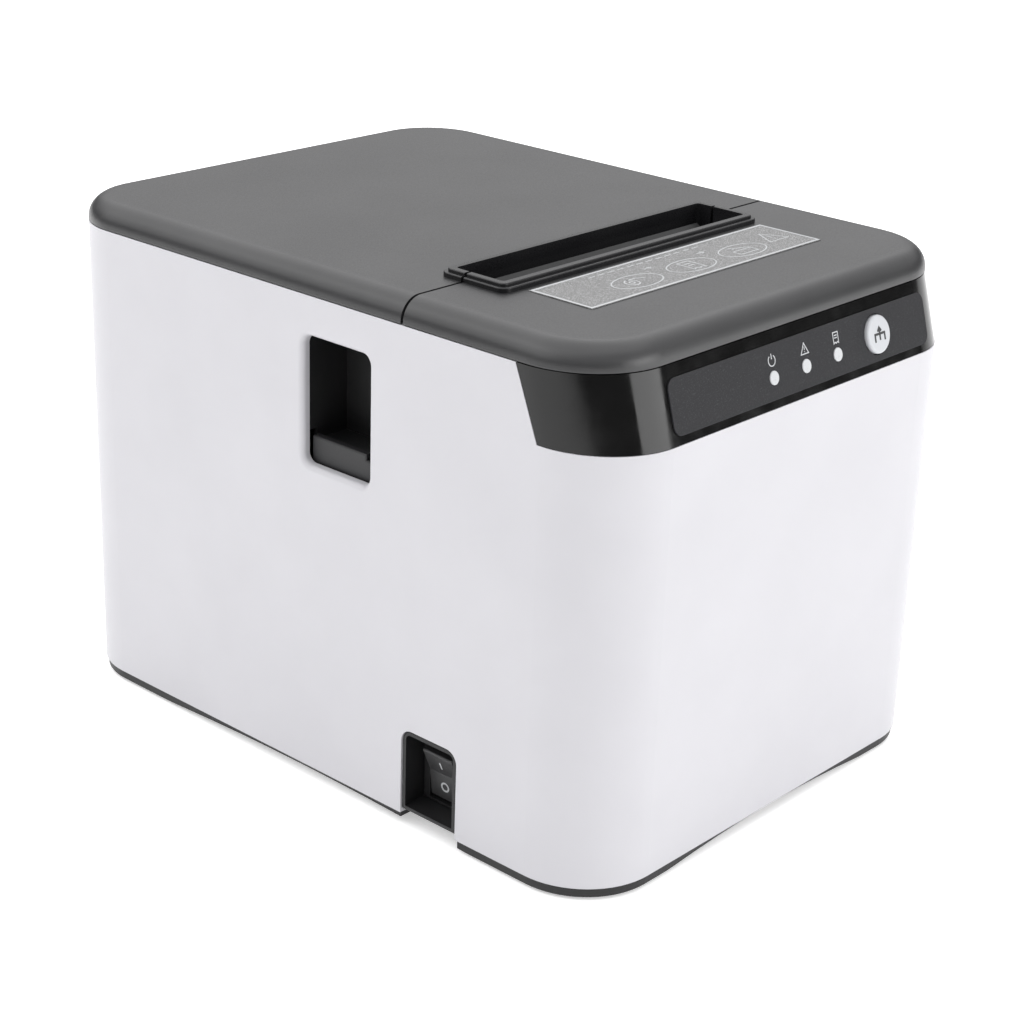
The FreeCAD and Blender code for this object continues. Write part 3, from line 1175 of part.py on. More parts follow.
def paper_bucket():
    x_out = centred_on("bucket_half", "bucket_wall")
    outer_r = "(bucket_radius + bucket_wall)"
    trough = fuse("bucket_outer", rod("bucket_round", outer_r, "2 * (bucket_half + bucket_wall)",
                                      (x_out[0], "bucket_y", "bucket_z"), "x"),
                  box("bucket_square", x_out, (f"bucket_y - {outer_r}", f"bucket_y + {outer_r}"),
                      ("bucket_z", "bucket_top")))
    space = fuse("bucket_space", rod("bucket_round_space", "bucket_radius", "2 * bucket_half",
                                     ("mech_x - bucket_half", "bucket_y", "bucket_z"), "x"),
                 box("bucket_square_space", centred_on("bucket_half"),
                     ("bucket_y - bucket_radius", "bucket_y + bucket_radius"),
                     ("bucket_z", "bucket_top + 1")))
    front_drop = box("bucket_front_drop", centred_on("bucket_half", "bucket_wall + 1"),
                     (f"bucket_y - {outer_r} - 1", "bucket_y + bucket_front_cut"),
                     ("bucket_front_top", "bucket_top + 1"))
    shelf = box("bucket_shelf", ("mech_x - 48", "mech_x + 48"), ("frame_front - 2", "-4"),
                ("shelf_low", "frame_low - 0.2"))
    reliefs = box("bucket_lever_relief", ("mech_x - 60", "mech_x - plate_inner - 2"), ("-34", "0"),
                  ("70", "100"))
    legs = []
    for i, (x, y) in enumerate(LEG_SPOTS):
        top = "shelf_low + 1" if y < 0 else "leg_top"
        legs.append(box(f"bucket_leg_{i}", (f"mech_x + {x}", f"mech_x + {x} + leg_size"),
                        (str(y), f"{y} + leg_size"), ("base_tray_top", top)))
    hollow = cut("bucket_hollow", trough, front_drop)
    blank = fuse("bucket_blank", hollow, shelf, *legs)
    sensor_hole = box("bucket_sensor_hole", centred_on("lens_half", "0.2"), ("sensor_rear", "0"),
                      ("sensor_low + 0.8", "sensor_low + 4.2"))
    return cut("bucket_finished", blank, space, reliefs, sensor_hole)


piece("paper_bucket", paper_bucket())
sensor = fuse("sensor_blank",
              box("sensor_body", centred_on("sensor_half"), ("sensor_rear - 4.3", "sensor_rear"),
                  ("sensor_low", "sensor_low + 5")),
              box("sensor_lens", centred_on("lens_half"), ("sensor_rear - 1", "sensor_rear + 2.2"),
                  ("sensor_low + 1", "sensor_low + 4")))


# ---- Main board, its parts and the rear connectors

dims(main_low=12, main_left=-40, main_right=56, main_front=-30, main_rear=84.5, leg_clear=0.5)
board_sheet = box("main_sheet", ("main_left", "main_right"), ("main_front", "main_rear"),
                  ("main_low", "main_low + board_thick"))
leg_notches = [box(f"main_leg_notch_{i}",
                   (f"mech_x + {x} - leg_clear", f"mech_x + {x} + leg_size + leg_clear"),
                   (f"{y} - leg_clear", f"{y} + leg_size + leg_clear"),
                   ("main_low - 1", "main_low + board_thick + 1"))
               for i, (x, y) in enumerate(LEG_SPOTS) if y > 0]
board = cut("main_notched", board_sheet, *leg_notches)
pillars = [rod(f"board_pillar_{i}", "2.5", "main_low - base_tray_top", (x, y, "base_tray_top"))
           for i, (x, y) in enumerate((("main_left + 5", "main_front + 5"),
                                       ("main_right - 5", "main_front + 5"),
                                       ("main_left + 5", "main_rear - 12"),
                                       ("main_right - 5", "main_rear - 12")))]
piece("main_board", board)
piece("board_pillars", group("board_pillar_set", *pillars))
BOARD_TOP = "(main_low + board_thick)"
parts = [box("chip_processor", ("4", "18"), ("10", "24"), (BOARD_TOP, f"{BOARD_TOP} + 1.4")),
         box("chip_driver", ("-20", "-8"), ("0", "8"), (BOARD_TOP, f"{BOARD_TOP} + 1.6")),
         box("chip_memory", ("24", "32"), ("12", "22"), (BOARD_TOP, f"{BOARD_TOP} + 1.4")),
         box("motor_socket", ("-34", "-22"), ("-26", "-20"), (BOARD_TOP, f"{BOARD_TOP} + 7")),
         box("head_socket", ("0", "34"), ("-26", "-22"), (BOARD_TOP, f"{BOARD_TOP} + 5"))]
parts += [rod(f"capacitor_{i}", "5", "14", (x, y, BOARD_TOP)) for i, (x, y) in
          enumerate((("49.5", "6"), ("49.5", "18")))]
piece("board_components", group("board_component_set", *parts))

BAY_REAR = f"({REAR} - 0.2)"
BAY_FRONT = f"({REAR} - bay_depth)"
dims(port_z=13.6, dc_x=-30, dc_radius=6.2, usb_x=-8, usb_half=6, usb_high=11, lan_x=14, lan_half=8,
     lan_high=13,
     drawer_x=36, drawer_half=6.6, drawer_high=11.5, port_front=72, port_rear=86.6, port_clear=0.25)
PORTS = (("usb_x", "usb_half", "usb_high"), ("lan_x", "lan_half", "lan_high"),
         ("drawer_x", "drawer_half", "drawer_high"))


DC_Z = "(port_z + dc_radius + 0.6)"


def connector_bay():
    inside = box("bay_space", ("-bay_half + bay_wall", "bay_half - bay_wall"),
                 (f"{BAY_FRONT} + bay_wall", f"{REAR} + 1"),
                 ("bay_low + 0.2 + bay_wall", "bay_high - 0.2 - bay_wall"))
    outside = box("bay_blank", ("-bay_half + 0.2", "bay_half - 0.2"), (BAY_FRONT, BAY_REAR),
                  ("bay_low + 0.2", "bay_high - 0.2"))
    cuts = [rod("bay_dc_hole", "dc_radius + port_clear", "10", ("dc_x", f"{BAY_FRONT} - 2", DC_Z), "y")]
    for i, (x, half, high) in enumerate(PORTS):
        cuts.append(box(f"bay_port_hole_{i}", (f"{x} - {half} - port_clear", f"{x} + {half} + port_clear"),
                        (f"{BAY_FRONT} - 2", f"{BAY_FRONT} + 4"),
                        ("port_z - port_clear", f"port_z + {high} + port_clear")))
    return cut("bay_holed", cut("bay_tub", outside, inside), *cuts)


def socket(name, x, half, high, hollow_half, hollow_low, hollow_high, deep):
    shell_box = box(name + "_shell", (f"{x} - {half}", f"{x} + {half}"), ("port_front", "port_rear"),
                    ("port_z", f"port_z + {high}"))
    space = box(name + "_space", (f"{x} - {hollow_half}", f"{x} + {hollow_half}"),
                (f"port_rear - {deep}", "port_rear + 1"),
                (f"port_z + {hollow_low}", f"port_z + {hollow_high}"))
    return cut(name + "_socket", shell_box, space)


def dc_inlet():
    """A round inlet with three contacts, on a block that stands on the board."""
    barrel = rod("dc_barrel", "dc_radius", "port_rear - port_front", ("dc_x", "port_front", DC_Z), "y")
    well = rod("dc_well", "dc_radius - 0.9", "9", ("dc_x", "port_rear - 8.5", DC_Z), "y")
    contacts = [rod(f"dc_contact_{i}", "0.6", "7", (f"dc_x + {x}", "port_rear - 9", f"{DC_Z} + {z}"), "y")
                for i, (x, z) in enumerate(((-2.6, 0), (2.6, 0), (0, 2.6)))]
    block = box("dc_block", ("dc_x - dc_radius", "dc_x + dc_radius"), ("port_front", "port_rear - 6"),
                (BOARD_TOP, DC_Z))
    return fuse("dc_socket", cut("dc_hollow", fuse("dc_blank", barrel, block), well), *contacts)


piece("connector_bay", connector_bay())
piece("dc_inlet", dc_inlet())
usb_tongue = box("usb_tongue", ("usb_x - 2.9", "usb_x + 2.9"), ("port_rear - 9.5", "port_rear - 1.5"),
                 ("port_z + 4.2", "port_z + 7.2"))
piece("usb_port", fuse("usb_with_tongue",
                       socket("usb", "usb_x", "usb_half", "usb_high", "4.3", "1.6", "9.4", "9"),
                       usb_tongue))
piece("lan_port", socket("lan", "lan_x", "lan_half", "lan_high", "5.9", "2", "10", "11"))
piece("drawer_port", socket("drawer", "drawer_x", "drawer_half", "drawer_high", "4.9", "2", "9.4", "11"))
piece("paper_sensor", sensor)


# ---- Check and export

doc.recompute()
os.makedirs("parts", exist_ok=True)
faulty = [item.Label for item in doc.Objects if {"Invalid", "Error"} & set(item.State)]
faulty += [item.Label for item in PIECES if item.Shape.isNull() or not item.Shape.isValid()]
if faulty:
    raise RuntimeError(f"these did not build: {faulty}")
for item in PIECES:
    item.Shape.exportStep(f"parts/{item.Label}.step")
    print(item.Label, len(item.Shape.Solids), round(item.Shape.Volume, 1))
print(len(PIECES), "nodes")
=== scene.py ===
import json
import math

import bmesh
import bpy
from mathutils import Euler, Matrix, Vector


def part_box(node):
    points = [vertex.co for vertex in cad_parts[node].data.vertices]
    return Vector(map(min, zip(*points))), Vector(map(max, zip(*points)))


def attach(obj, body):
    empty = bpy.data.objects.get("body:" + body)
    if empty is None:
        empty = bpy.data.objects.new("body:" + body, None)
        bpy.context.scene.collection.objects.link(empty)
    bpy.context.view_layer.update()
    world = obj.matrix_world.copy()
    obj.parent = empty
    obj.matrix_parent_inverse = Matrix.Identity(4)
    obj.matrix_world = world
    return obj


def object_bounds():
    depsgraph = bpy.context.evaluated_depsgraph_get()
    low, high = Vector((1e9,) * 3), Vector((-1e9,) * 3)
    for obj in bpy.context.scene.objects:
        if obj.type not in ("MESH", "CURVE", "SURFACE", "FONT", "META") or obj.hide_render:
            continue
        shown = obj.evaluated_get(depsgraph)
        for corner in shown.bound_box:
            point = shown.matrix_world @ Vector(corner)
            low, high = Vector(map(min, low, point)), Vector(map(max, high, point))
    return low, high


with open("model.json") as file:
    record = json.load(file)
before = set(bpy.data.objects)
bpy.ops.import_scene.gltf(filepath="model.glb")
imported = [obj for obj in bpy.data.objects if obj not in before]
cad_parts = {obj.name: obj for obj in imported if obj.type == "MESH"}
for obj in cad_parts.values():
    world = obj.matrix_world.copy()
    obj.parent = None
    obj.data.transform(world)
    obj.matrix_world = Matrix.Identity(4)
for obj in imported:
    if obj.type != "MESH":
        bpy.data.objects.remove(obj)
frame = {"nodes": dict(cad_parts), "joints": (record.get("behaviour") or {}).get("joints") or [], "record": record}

MM = 0.001                                   # every length below is in metres
CAD_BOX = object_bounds()
LOW, HIGH = CAD_BOX
CENTRE = (LOW + HIGH) / 2

CAMERA_PLACE = (-0.4164, -0.3759, 0.2847)
CAMERA_TURN = (67.70, -1.82, -47.57)         # degrees about X, Y and Z
LENS_MM = 78.0
FLOOR_HALF = 6.0

INK_THICK = 0.06 * MM
INK_SINK = 0.02 * MM                         # how deep an ink line's underside sits in its surface
RAY_START = 20 * MM                          # how far outside a surface the search for it begins
LIGHT_FLANGE = 2.35 * MM                     # a status light's outer radius behind the panel
SIGN_RISE = 4.4 * MM                         # from a status light's centre up to its sign


# ---------------------------------------------------------------- camera, lights, floor

def add_camera():
    """A long lens that looks down at the printer's front left corner."""
    lens = bpy.data.cameras.new("camera")
    lens.lens = LENS_MM
    lens.sensor_width = 36.0
    lens.clip_start = 0.01
    camera = bpy.data.objects.new("camera", lens)
    camera.location = Vector(CAMERA_PLACE)
    camera.rotation_euler = Euler([math.radians(turn) for turn in CAMERA_TURN])
    bpy.context.collection.objects.link(camera)
    bpy.context.scene.camera = camera


def add_softbox(name, place, size, power):
    """A soft rectangular lamp at place that faces the printer."""
    light = bpy.data.lights.new(name, "AREA")
    light.shape = "RECTANGLE"
    light.size, light.size_y = size
    light.energy = power
    softbox = bpy.data.objects.new(name, light)
    softbox.location = Vector(place)
    softbox.rotation_euler = (CENTRE - softbox.location).to_track_quat("-Z", "Y").to_euler()
    bpy.context.collection.objects.link(softbox)


def add_room():
    """A studio that is bright overhead and dim near the horizon."""
    world = bpy.data.worlds.new("room")
    world.use_nodes = True
    nodes, link = world.node_tree.nodes, world.node_tree.links.new
    direction = nodes.new("ShaderNodeTexCoord")
    split = nodes.new("ShaderNodeSeparateXYZ")
    ramp = nodes.new("ShaderNodeValToRGB")
    ramp.color_ramp.elements[0].position = 0.18
    ramp.color_ramp.elements[0].color = (0.07, 0.07, 0.07, 1.0)
    ramp.color_ramp.elements[1].position = 0.42
    ramp.color_ramp.elements[1].color = (1.00, 1.00, 1.01, 1.0)
    link(direction.outputs["Generated"], split.inputs["Vector"])
    link(split.outputs["Z"], ramp.inputs["Fac"])
    link(ramp.outputs["Color"], nodes["Background"].inputs["Color"])
    bpy.context.scene.world = world
    bpy.context.scene.view_settings.view_transform = "Standard"


def add_lights():
    """Soft light from above, from the left rear, from the front and from behind, in a pale room."""
    add_softbox("light_above", (0.1, 0.3, 1.7), (3.2, 3.2), 30.0)
    add_softbox("light_left", (-1.25, 0.85, 1.10), (1.7, 1.2), 7.5)
    add_softbox("light_front", (0.42, -1.25, 0.34), (1.0, 0.5), 6.5)
    add_softbox("light_back", (1.10, 1.00, 0.66), (1.6, 0.8), 1.7)
    add_room()


def add_floor():
    """A wide pale sweep, softly lit from below, that the feet stand on."""
    half = FLOOR_HALF
    mesh = bpy.data.meshes.new("floor")
    corners = [(-half, -half, 0), (half, -half, 0), (half, half, 0), (-half, half, 0)]
    mesh.from_pydata(corners, [], [(0, 1, 2, 3)])
    floor = bpy.data.objects.new("floor", mesh)
    floor.location.z = LOW.z
    mesh.materials.append(moulded("floor_paint", (0.90, 0.90, 0.90), (0.93, 0.93, 0.93), 0.9, 2 * MM,
                                  Emission_Color=(1.0, 1.0, 1.0, 1.0), Emission_Strength=0.42))
    bpy.context.collection.objects.link(floor)


# ---------------------------------------------------------------- materials

def new_material(name):
    """A material with one Principled shader: returns it, a node maker, a link maker and the shader."""
    material = bpy.data.materials.new(name)
    material.use_nodes = True
    tree = material.node_tree
    shader = tree.nodes["Principled BSDF"]

    def add(kind, **values):
        node = tree.nodes.new(kind)
        for key, value in values.items():
            if key in node.inputs:
                node.inputs[key].default_value = value
            else:
                setattr(node, key, value)
        return node

    return material, add, tree.links.new, shader


def add_noise(add, link, size, detail=2.0, stretch=(1.0, 1.0, 1.0)):
    """Noise with lumps about size metres across, stretched along an axis by its factor."""
    place = add("ShaderNodeTexCoord")
    scale = add("ShaderNodeMapping")
    scale.inputs["Scale"].default_value = [1 / factor for factor in stretch]
    noise = add("ShaderNodeTexNoise", Scale=1 / size, Detail=detail)
    link(place.outputs["Object"], scale.inputs["Vector"])
    link(scale.outputs["Vector"], noise.inputs["Vector"])
    return noise.outputs["Fac"]


def add_range(add, link, source, low, high, start=0.3, end=0.7):
    """Spreads source's start to end over low to high."""
    spread = add("ShaderNodeMapRange")
    for socket, value in (("From Min", start), ("From Max", end), ("To Min", low), ("To Max", high)):
        spread.inputs[socket].default_value = value
    link(source, spread.inputs["Value"])
    return spread.outputs["Result"]


def add_blend(add, link, source, first, second):
    """A colour between first and second, by source from 0 to 1."""
    blend = add("ShaderNodeMix", data_type="RGBA")
    for socket in blend.inputs:
        if socket.identifier == "A_Color":
            socket.default_value = (*first, 1.0)
        if socket.identifier == "B_Color":
            socket.default_value = (*second, 1.0)
        if socket.identifier == "Factor_Float":
            link(source, socket)
    return next(socket for socket in blend.outputs if socket.identifier == "Result_Color")


def add_bump(add, link, source, shader, depth):
    bump = add("ShaderNodeBump", Strength=1.0, Distance=depth)
    link(source, bump.inputs["Height"])
    link(bump.outputs["Normal"], shader.inputs["Normal"])


def set_shine(shader, shine):
    """Even values for the shader's own sockets, by socket name with underscores."""
    for socket, value in shine.items():
        shader.inputs[socket.replace("_", " ")].default_value = value


def moulded(name, colour, tone_shift, roughness, grain=0.35 * MM, relief=0.006 * MM, **shine):
    """Moulded plastic: a fine grain, slow shifts of tone and uneven polish."""
    material, add, link, shader = new_material(name)
    tone = add_range(add, link, add_noise(add, link, 28 * MM, 3.0), 0.0, 1.0)
    link(add_blend(add, link, tone, colour, tone_shift), shader.inputs["Base Color"])
    skin = add_noise(add, link, grain, 3.0)
    polish = add_range(add, link, skin, roughness - 0.05, roughness + 0.05)
    link(polish, shader.inputs["Roughness"])
    add_bump(add, link, skin, shader, relief)
    set_shine(shader, shine)
    return material


def metal(name, colour, tone_shift, roughness, along=(12.0, 1.0, 1.0), grain=0.25 * MM, relief=0.003 * MM):
    """Rolled or turned metal: fine streaks along one axis over uneven tone."""
    material, add, link, shader = new_material(name)
    shader.inputs["Metallic"].default_value = 1.0
    streaks = add_noise(add, link, grain, 4.0, along)
    link(add_blend(add, link, streaks, colour, tone_shift), shader.inputs["Base Color"])
    link(add_range(add, link, streaks, roughness - 0.08, roughness + 0.08), shader.inputs["Roughness"])
    add_bump(add, link, streaks, shader, relief)
    return material


def speckled(name, ground, fleck, roughness, size, share, relief=0.004 * MM, **shine):
    """Printed film: bright flecks of ink or flake over a plain ground."""
    material, add, link, shader = new_material(name)
    flecks = add_noise(add, link, size, 1.0)
    cover = add_range(add, link, flecks, 0.0, 1.0, 1.0 - share, 1.05 - share)
    link(add_blend(add, link, cover, ground, fleck), shader.inputs["Base Color"])
    link(add_range(add, link, flecks, roughness - 0.06, roughness + 0.06), shader.inputs["Roughness"])
    add_bump(add, link, flecks, shader, relief)
    set_shine(shader, shine)
    return material


def tipped(name, ground, tip, roughness, node):
    """Dark plastic that turns pale at the teeth's rear tips: the tone follows the depth through the node."""
    material, add, link, shader = new_material(name)
    low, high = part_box(node)
    split = add("ShaderNodeSeparateXYZ")
    link(add("ShaderNodeTexCoord").outputs["Object"], split.inputs["Vector"])
    # Paler towards the teeth's rear tips, by depth along Y.
    tone_shift = add_range(add, link, split.outputs["Y"], 0.0, 1.0, high.y - 0.7 * MM, high.y - 0.2 * MM)
    link(add_blend(add, link, tone_shift, ground, tip), shader.inputs["Base Color"])
    skin = add_noise(add, link, 0.3 * MM, 3.0)
    link(add_range(add, link, skin, roughness - 0.05, roughness + 0.05), shader.inputs["Roughness"])
    add_bump(add, link, skin, shader, 0.006 * MM)
    return material


def board_green(name):
    """Solder mask over copper tracks: straight tracks show as a slightly lighter green."""
    material, add, link, shader = new_material(name)
    place = add("ShaderNodeTexCoord")
    tracks = add("ShaderNodeTexBrick", Scale=1 / (14 * MM), offset=0.37, squash=0.6)
    tracks.inputs["Mortar Size"].default_value = 0.03
    tracks.inputs["Color1"].default_value = (0.006, 0.055, 0.022, 1.0)
    tracks.inputs["Color2"].default_value = (0.008, 0.07, 0.028, 1.0)
    tracks.inputs["Mortar"].default_value = (0.02, 0.14, 0.05, 1.0)
    link(place.outputs["Object"], tracks.inputs["Vector"])
    link(tracks.outputs["Color"], shader.inputs["Base Color"])
    skin = add_noise(add, link, 0.8 * MM, 2.0)
    link(add_range(add, link, skin, 0.22, 0.36), shader.inputs["Roughness"])
    add_bump(add, link, tracks.outputs["Fac"], shader, 0.02 * MM)
    return material


def make_materials():
    """One material for each material slot of the record."""
    return {
        "white_plastic": moulded("white_plastic", (0.50, 0.495, 0.518), (0.48, 0.475, 0.498), 0.42,
                                 0.5 * MM),
        "cover_plastic": moulded("cover_plastic", (0.014, 0.014, 0.015), (0.022, 0.022, 0.023), 0.36,
                                 0.30 * MM, 0.02 * MM, Specular_IOR_Level=0.6),
        "black_plastic": moulded("black_plastic", (0.009, 0.009, 0.010), (0.014, 0.014, 0.014), 0.45,
                                 Specular_IOR_Level=0.35),
        "gloss_black": moulded("gloss_black", (0.004, 0.004, 0.004), (0.006, 0.006, 0.006), 0.12,
                               6 * MM, 0.004 * MM, Specular_IOR_Level=0.35),
        "panel_film": speckled("panel_film", (0.010, 0.010, 0.012), (0.028, 0.028, 0.031), 0.62,
                               0.28 * MM, 0.42, Specular_IOR_Level=0.3),
        "clear_lens": moulded("clear_lens", (0.52, 0.53, 0.54), (0.48, 0.49, 0.50), 0.30),
        "button_plastic": moulded("button_plastic", (0.49, 0.50, 0.52), (0.45, 0.46, 0.48), 0.35),
        "rim_plastic": moulded("rim_plastic", (0.008, 0.008, 0.009), (0.012, 0.012, 0.013), 0.30,
                               Specular_IOR_Level=0.4),
        "lever_plastic": moulded("lever_plastic", (0.016, 0.016, 0.017), (0.022, 0.022, 0.023), 0.45,
                                 Specular_IOR_Level=0.35),
        # Painted light: the rocker gets a lighter copy of the dark lever plastic, standing in for the light its
        # faces catch.
        "rocker_plastic_painted_light": moulded("rocker_plastic_painted_light", (0.024, 0.024, 0.025), (0.032, 0.032, 0.033), 0.42),
        "tear_plastic": tipped("tear_plastic", (0.010, 0.010, 0.011), (0.34, 0.33, 0.32), 0.42, "tear_bar"),
        "rubber": moulded("rubber", (0.014, 0.014, 0.014), (0.022, 0.022, 0.021), 0.75, 0.4 * MM, 0.02 * MM),
        "gear_plastic": moulded("gear_plastic", (0.62, 0.58, 0.48), (0.56, 0.52, 0.43), 0.38),
        "ceramic": moulded("ceramic", (0.50, 0.44, 0.34), (0.46, 0.40, 0.31), 0.22),
        "component_plastic": moulded("component_plastic", (0.018, 0.018, 0.020), (0.030, 0.030, 0.032), 0.5),
        "label_film": speckled("label_film", (0.12, 0.12, 0.12), (0.33, 0.33, 0.33), 0.46, 0.24 * MM, 0.46),
        "circuit_board": board_green("circuit_board"),
        "screw_steel": metal("screw_steel", (0.55, 0.55, 0.56), (0.40, 0.40, 0.41), 0.32, (1, 1, 1)),
        "plate_steel": metal("plate_steel", (0.62, 0.63, 0.64), (0.48, 0.49, 0.50), 0.34),
        "blade_steel": metal("blade_steel", (0.66, 0.66, 0.67), (0.50, 0.50, 0.52), 0.24),
        "motor_steel": metal("motor_steel", (0.50, 0.50, 0.50), (0.38, 0.38, 0.38), 0.36, (1, 12, 1)),
        "spring_steel": metal("spring_steel", (0.60, 0.60, 0.62), (0.44, 0.44, 0.46), 0.28, (1, 1, 1)),
        "port_steel": metal("port_steel", (0.64, 0.64, 0.65), (0.52, 0.52, 0.53), 0.26, (1, 6, 1)),
        "aluminium": metal("aluminium", (0.72, 0.72, 0.73), (0.58, 0.58, 0.60), 0.38),
        "brass": metal("brass", (0.70, 0.52, 0.22), (0.58, 0.42, 0.17), 0.28, (1, 1, 1)),
    }


def paint_cad_nodes(materials):
    """Each CAD node gets the made material of its own slot, apart from the rocker, which gets a lighter copy as
    painted light, and the tear bar.
    """
    special = {"switch_rocker": "rocker_plastic_painted_light", "tear_bar": "tear_plastic"}
    for part in frame["record"]["subparts"]:
        for place in frame["nodes"][part["node"]].material_slots:
            place.material = materials[special.get(part["node"], part["material_slot"])]


# ---------------------------------------------------------------- printed marks

def arc(centre, radius, start, end, steps, squash=1.0):
    """Points along an arc, in degrees anticlockwise from the right."""
    points = []
    for i in range(steps + 1):
        turn = math.radians(start + (end - start) * i / steps)
        across, up = radius * math.cos(turn), radius * squash * math.sin(turn)
        points.append(Vector((centre[0] + across, centre[1] + up)))
    return points


def line(*points):
    return [Vector(point) for point in points]


def add_stroke(mesh, points, width, thick, closed=False):
    """An ink line of even width as a closed flat strip, mitred at its corners."""
    total = len(points)
    sections = []
    for i, point in enumerate(points):
        before = points[i - 1] if closed or i else 2 * point - points[1]
        after = points[(i + 1) % total] if closed or i + 1 < total else 2 * point - points[i - 1]
        run = (point - before).normalized()
        along = (run + (after - point).normalized()).normalized()
        side = Vector((-along.y, along.x))
        reach = side * (width / 2 / max(0.5, along.dot(run)))
        corners = ((point + reach, 0), (point + reach, thick), (point - reach, thick), (point - reach, 0))
        sections.append([mesh.verts.new((spot.x, spot.y, level)) for spot, level in corners])
    pairs = list(zip(sections, sections[1:]))
    if closed:
        pairs.append((sections[-1], sections[0]))
    for first, second in pairs:
        for i in range(4):
            mesh.faces.new((first[i], first[(i + 1) % 4], second[(i + 1) % 4], second[i]))
    if not closed:
        mesh.faces.new(sections[0][::-1])
        mesh.faces.new(sections[-1])


def print_marks(name, body, node, start, direction, up, strokes, width, finish):
    """Ink lines on a CAD surface: a ray from start finds the surface, and up is the drawing's own up."""
    mesh = bmesh.new()
    for points, closed in strokes:
        add_stroke(mesh, points, width, INK_THICK, closed)
    bmesh.ops.recalc_face_normals(mesh, faces=mesh.faces)
    data = bpy.data.meshes.new(name)
    mesh.to_mesh(data)
    mesh.free()
    found, spot, normal, _ = frame["nodes"][node].ray_cast(Vector(start), Vector(direction))
    if not found:
        raise RuntimeError(f"no surface under {name}")
    across = Vector(up).cross(normal).normalized()
    drawing = Matrix((across, normal.cross(across), normal)).transposed().to_4x4()
    piece = bpy.data.objects.new(name, data)
    piece.matrix_world = Matrix.Translation(spot - normal * INK_SINK) @ drawing
    data.materials.append(finish)
    bpy.context.collection.objects.link(piece)
    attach(piece, body)
    return piece


def power_sign(size):
    """A broken ring with a stroke in its gap."""
    return [(arc((0, 0), size / 2, 125, 415, 24), False), (line((0, size * 0.12), (0, size * 0.62)), False)]


def warning_sign(size):
    """A triangle with a stroke and a dot inside."""
    half = size * 0.58
    low, high = -size * 0.45, size * 0.55
    return [(line((-half, low), (half, low), (0, high)), True),
            (line((0, size * 0.22), (0, -size * 0.10)), False),
            (line((0, -size * 0.20), (0, -size * 0.29)), False)]


def sheet_sign(size):
    """A paper slip with a torn lower edge and two lines of print."""
    half, high = size * 0.38, size * 0.52
    slip = [(-half, -high), (-half, high), (half, high), (half, -high), (half / 2, -high * 0.75), (0, -high),
            (-half / 2, -high * 0.75)]
    rows = [(line((-half * 0.55, level), (half * 0.55, level)), False) for level in (high * 0.45, 0.0)]
    return [(line(*slip), True)] + rows


def feed_sign(size):
    """An open tray with an arrow that points out of it."""
    half, low = size * 0.58, -size * 0.42
    return [(line((-half, low), (-half, size * 0.12), (half, size * 0.12), (half, low)), False),
            (line((0, low * 0.8), (0, size * 0.5)), False),
            (line((-size * 0.22, size * 0.30), (0, size * 0.56), (size * 0.22, size * 0.30)), False)]


def shift(strokes, across, up):
    """Move a drawing within its own plane."""
    move = Vector((across, up))
    return [([point + move for point in points], closed) for points, closed in strokes]


def joint_axis(name):
    return Vector(next(joint["axis"] for joint in frame["joints"] if joint["name"] == name))


def add_panel_marks(ink):
    """A small sign above each status light, on the leaning panel."""
    inward = joint_axis("feed_button_press")
    upward = Vector((1, 0, 0)).cross(inward)
    low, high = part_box("led_lenses")
    signs = (("power_mark", power_sign), ("warning_mark", warning_sign), ("slip_mark", sheet_sign))
    for i, (name, sign) in enumerate(signs):
        start = (low + high) / 2 + upward * SIGN_RISE - inward * RAY_START
        start.x = low.x + LIGHT_FLANGE + (high.x - low.x - 2 * LIGHT_FLANGE) * i / 2
        print_marks(name, "chassis", "panel_overlay", start, inward, upward,
                    sign(2.6 * MM), 0.26 * MM, ink)


def add_button_mark(ink):
    """The feed sign in the middle of the button's face."""
    inward = joint_axis("feed_button_press")
    upward = Vector((1, 0, 0)).cross(inward)
    low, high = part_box("feed_button")
    start = (low + high) / 2 - inward * RAY_START
    print_marks("feed_mark", "feed_key", "feed_button", start, inward, upward,
                feed_sign(3.5 * MM), 0.6 * MM, ink)


def add_rocker_marks(ink):
    """The on stroke above the pivot and the off ring below it."""
    low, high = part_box("switch_rocker")
    middle, tall = (low + high) / 2, high.z - low.z
    stroke = [(line((0, -1.1 * MM), (0, 1.1 * MM)), False)]
    ring = [(arc((0, 0), 1.15 * MM, 0, 337.5, 15), True)]
    for name, strokes, rise in (("on_mark", stroke, 0.21), ("off_mark", ring, -0.25)):
        start = (low.x - RAY_START, middle.y, middle.z + rise * tall)
        print_marks(name, "power_rocker", "switch_rocker", start, (1, 0, 0), (0, 0, 1),
                    strokes, 0.45 * MM, ink)


def roll_sign(size):
    """A paper roll with its tail led out, inside a rounded frame."""
    roll = (-size * 0.35, 0)
    return [(arc(roll, size * 0.34, 0, 345, 23), True), (arc(roll, size * 0.12, 0, 330, 11), True),
            (line((roll[0], size * 0.34), (size * 0.25, size * 0.34), (size * 0.62, size * 0.12)), False)]


def arrow_sign(size):
    """A plain arrow that points right."""
    return [(line((-size * 0.5, 0), (size * 0.4, 0)), False),
            (line((size * 0.12, size * 0.24), (size * 0.46, 0), (size * 0.12, -size * 0.24)), False)]


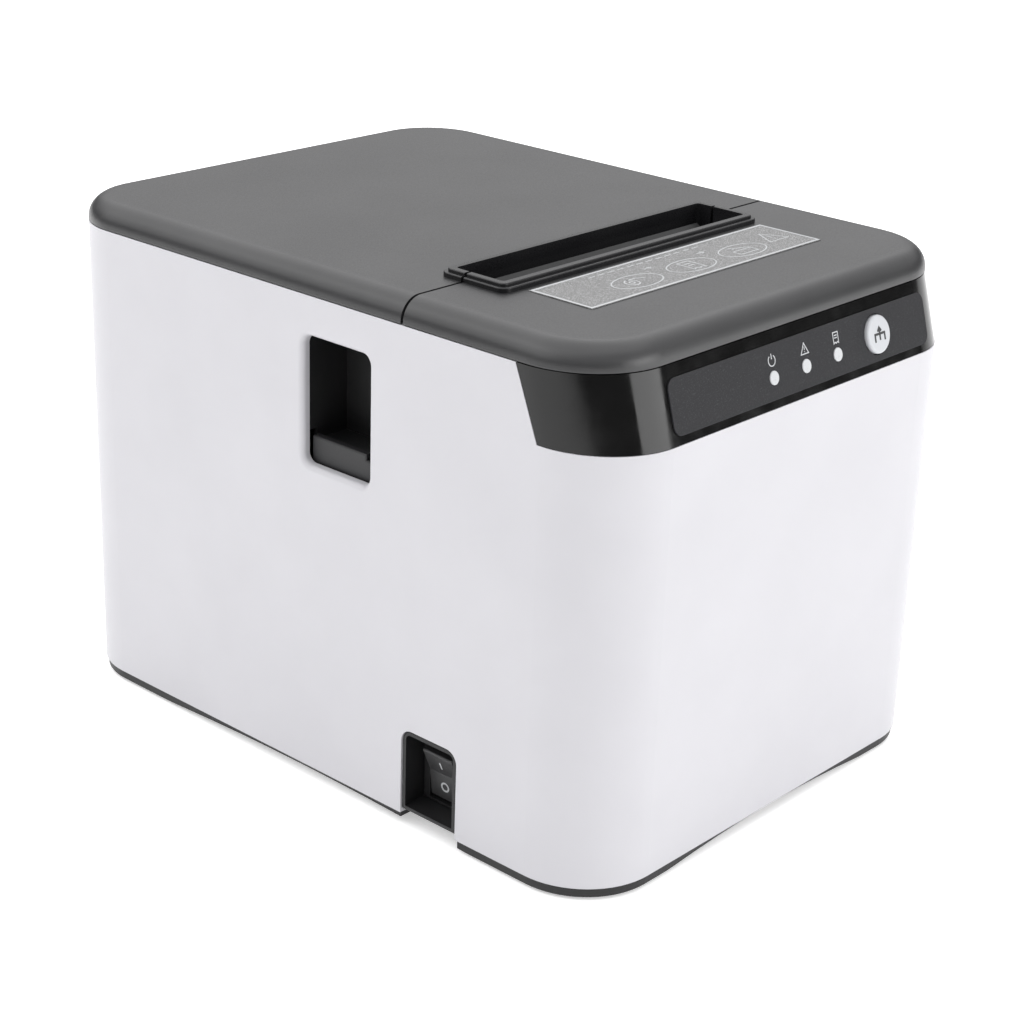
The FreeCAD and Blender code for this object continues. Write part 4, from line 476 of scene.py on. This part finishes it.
def lid_sign(size):
    """A case seen from the side with its lid half open."""
    half, low, high = size * 0.62, -size * 0.42, size * 0.05
    return [(line((-half, low), (-half, high), (half, high), (half, low)), True),
            (line((half, high + size * 0.08), (-half * 0.7, size * 0.52)), False),
            (arc((half, high), size * 0.95, 150, 168, 5), False)]


def oval(size):
    return [(arc((0, 0), size, 0, 352.5, 47, 0.52), True)]


def add_label_marks(ink):
    """Plain loading drawings on the film: three ovals, arrows, a triangle, dashes and an edge line."""
    low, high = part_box("instruction_label")
    wide, deep = high.x - low.x, high.y - low.y
    edge = 0.5 * MM
    half_wide, half_deep = wide / 2 - edge, deep / 2 - edge
    strokes = [(line((-half_wide, -half_deep), (half_wide, -half_deep), (half_wide, half_deep),
                     (-half_wide, half_deep)), True)]
    drawings = []
    for i, sign in enumerate((roll_sign, sheet_sign, lid_sign)):
        across = wide * (-0.22 + 0.23 * i)
        drawings += shift(oval(8.2 * MM), across, -deep * 0.12)
        drawings += shift(sign(5.6 * MM), across, -deep * 0.12)
    for i in range(2):
        drawings += shift(arrow_sign(2.8 * MM), wide * (-0.105 + 0.23 * i), deep * 0.16)
    drawings += shift(warning_sign(6.5 * MM), wide * 0.41, deep * 0.02)
    for i in range(12):
        start = -wide * 0.30 + i * 3.6 * MM
        drawings.append((line((start, deep * 0.36), (start + 2.4 * MM, deep * 0.36)), False))
    above = ((low.x + high.x) / 2, (low.y + high.y) / 2, high.z + RAY_START)
    print_marks("label_edge", "chassis", "instruction_label", above, (0, 0, -1), (0, 1, 0),
                strokes, 0.7 * MM, ink)
    print_marks("label_drawings", "chassis", "instruction_label", above, (0, 0, -1), (0, 1, 0),
                drawings, 0.32 * MM, ink)


add_camera()
add_lights()
add_floor()
finishes = make_materials()
paint_cad_nodes(finishes)
pale_ink = moulded("pale_ink", (0.46, 0.47, 0.48), (0.40, 0.41, 0.42), 0.55, 0.2 * MM, 0.002 * MM)
dark_ink = moulded("dark_ink", (0.020, 0.020, 0.021), (0.030, 0.030, 0.031), 0.50, 0.2 * MM, 0.002 * MM)
add_panel_marks(pale_ink)
add_button_mark(dark_ink)
add_rocker_marks(pale_ink)
add_label_marks(pale_ink)
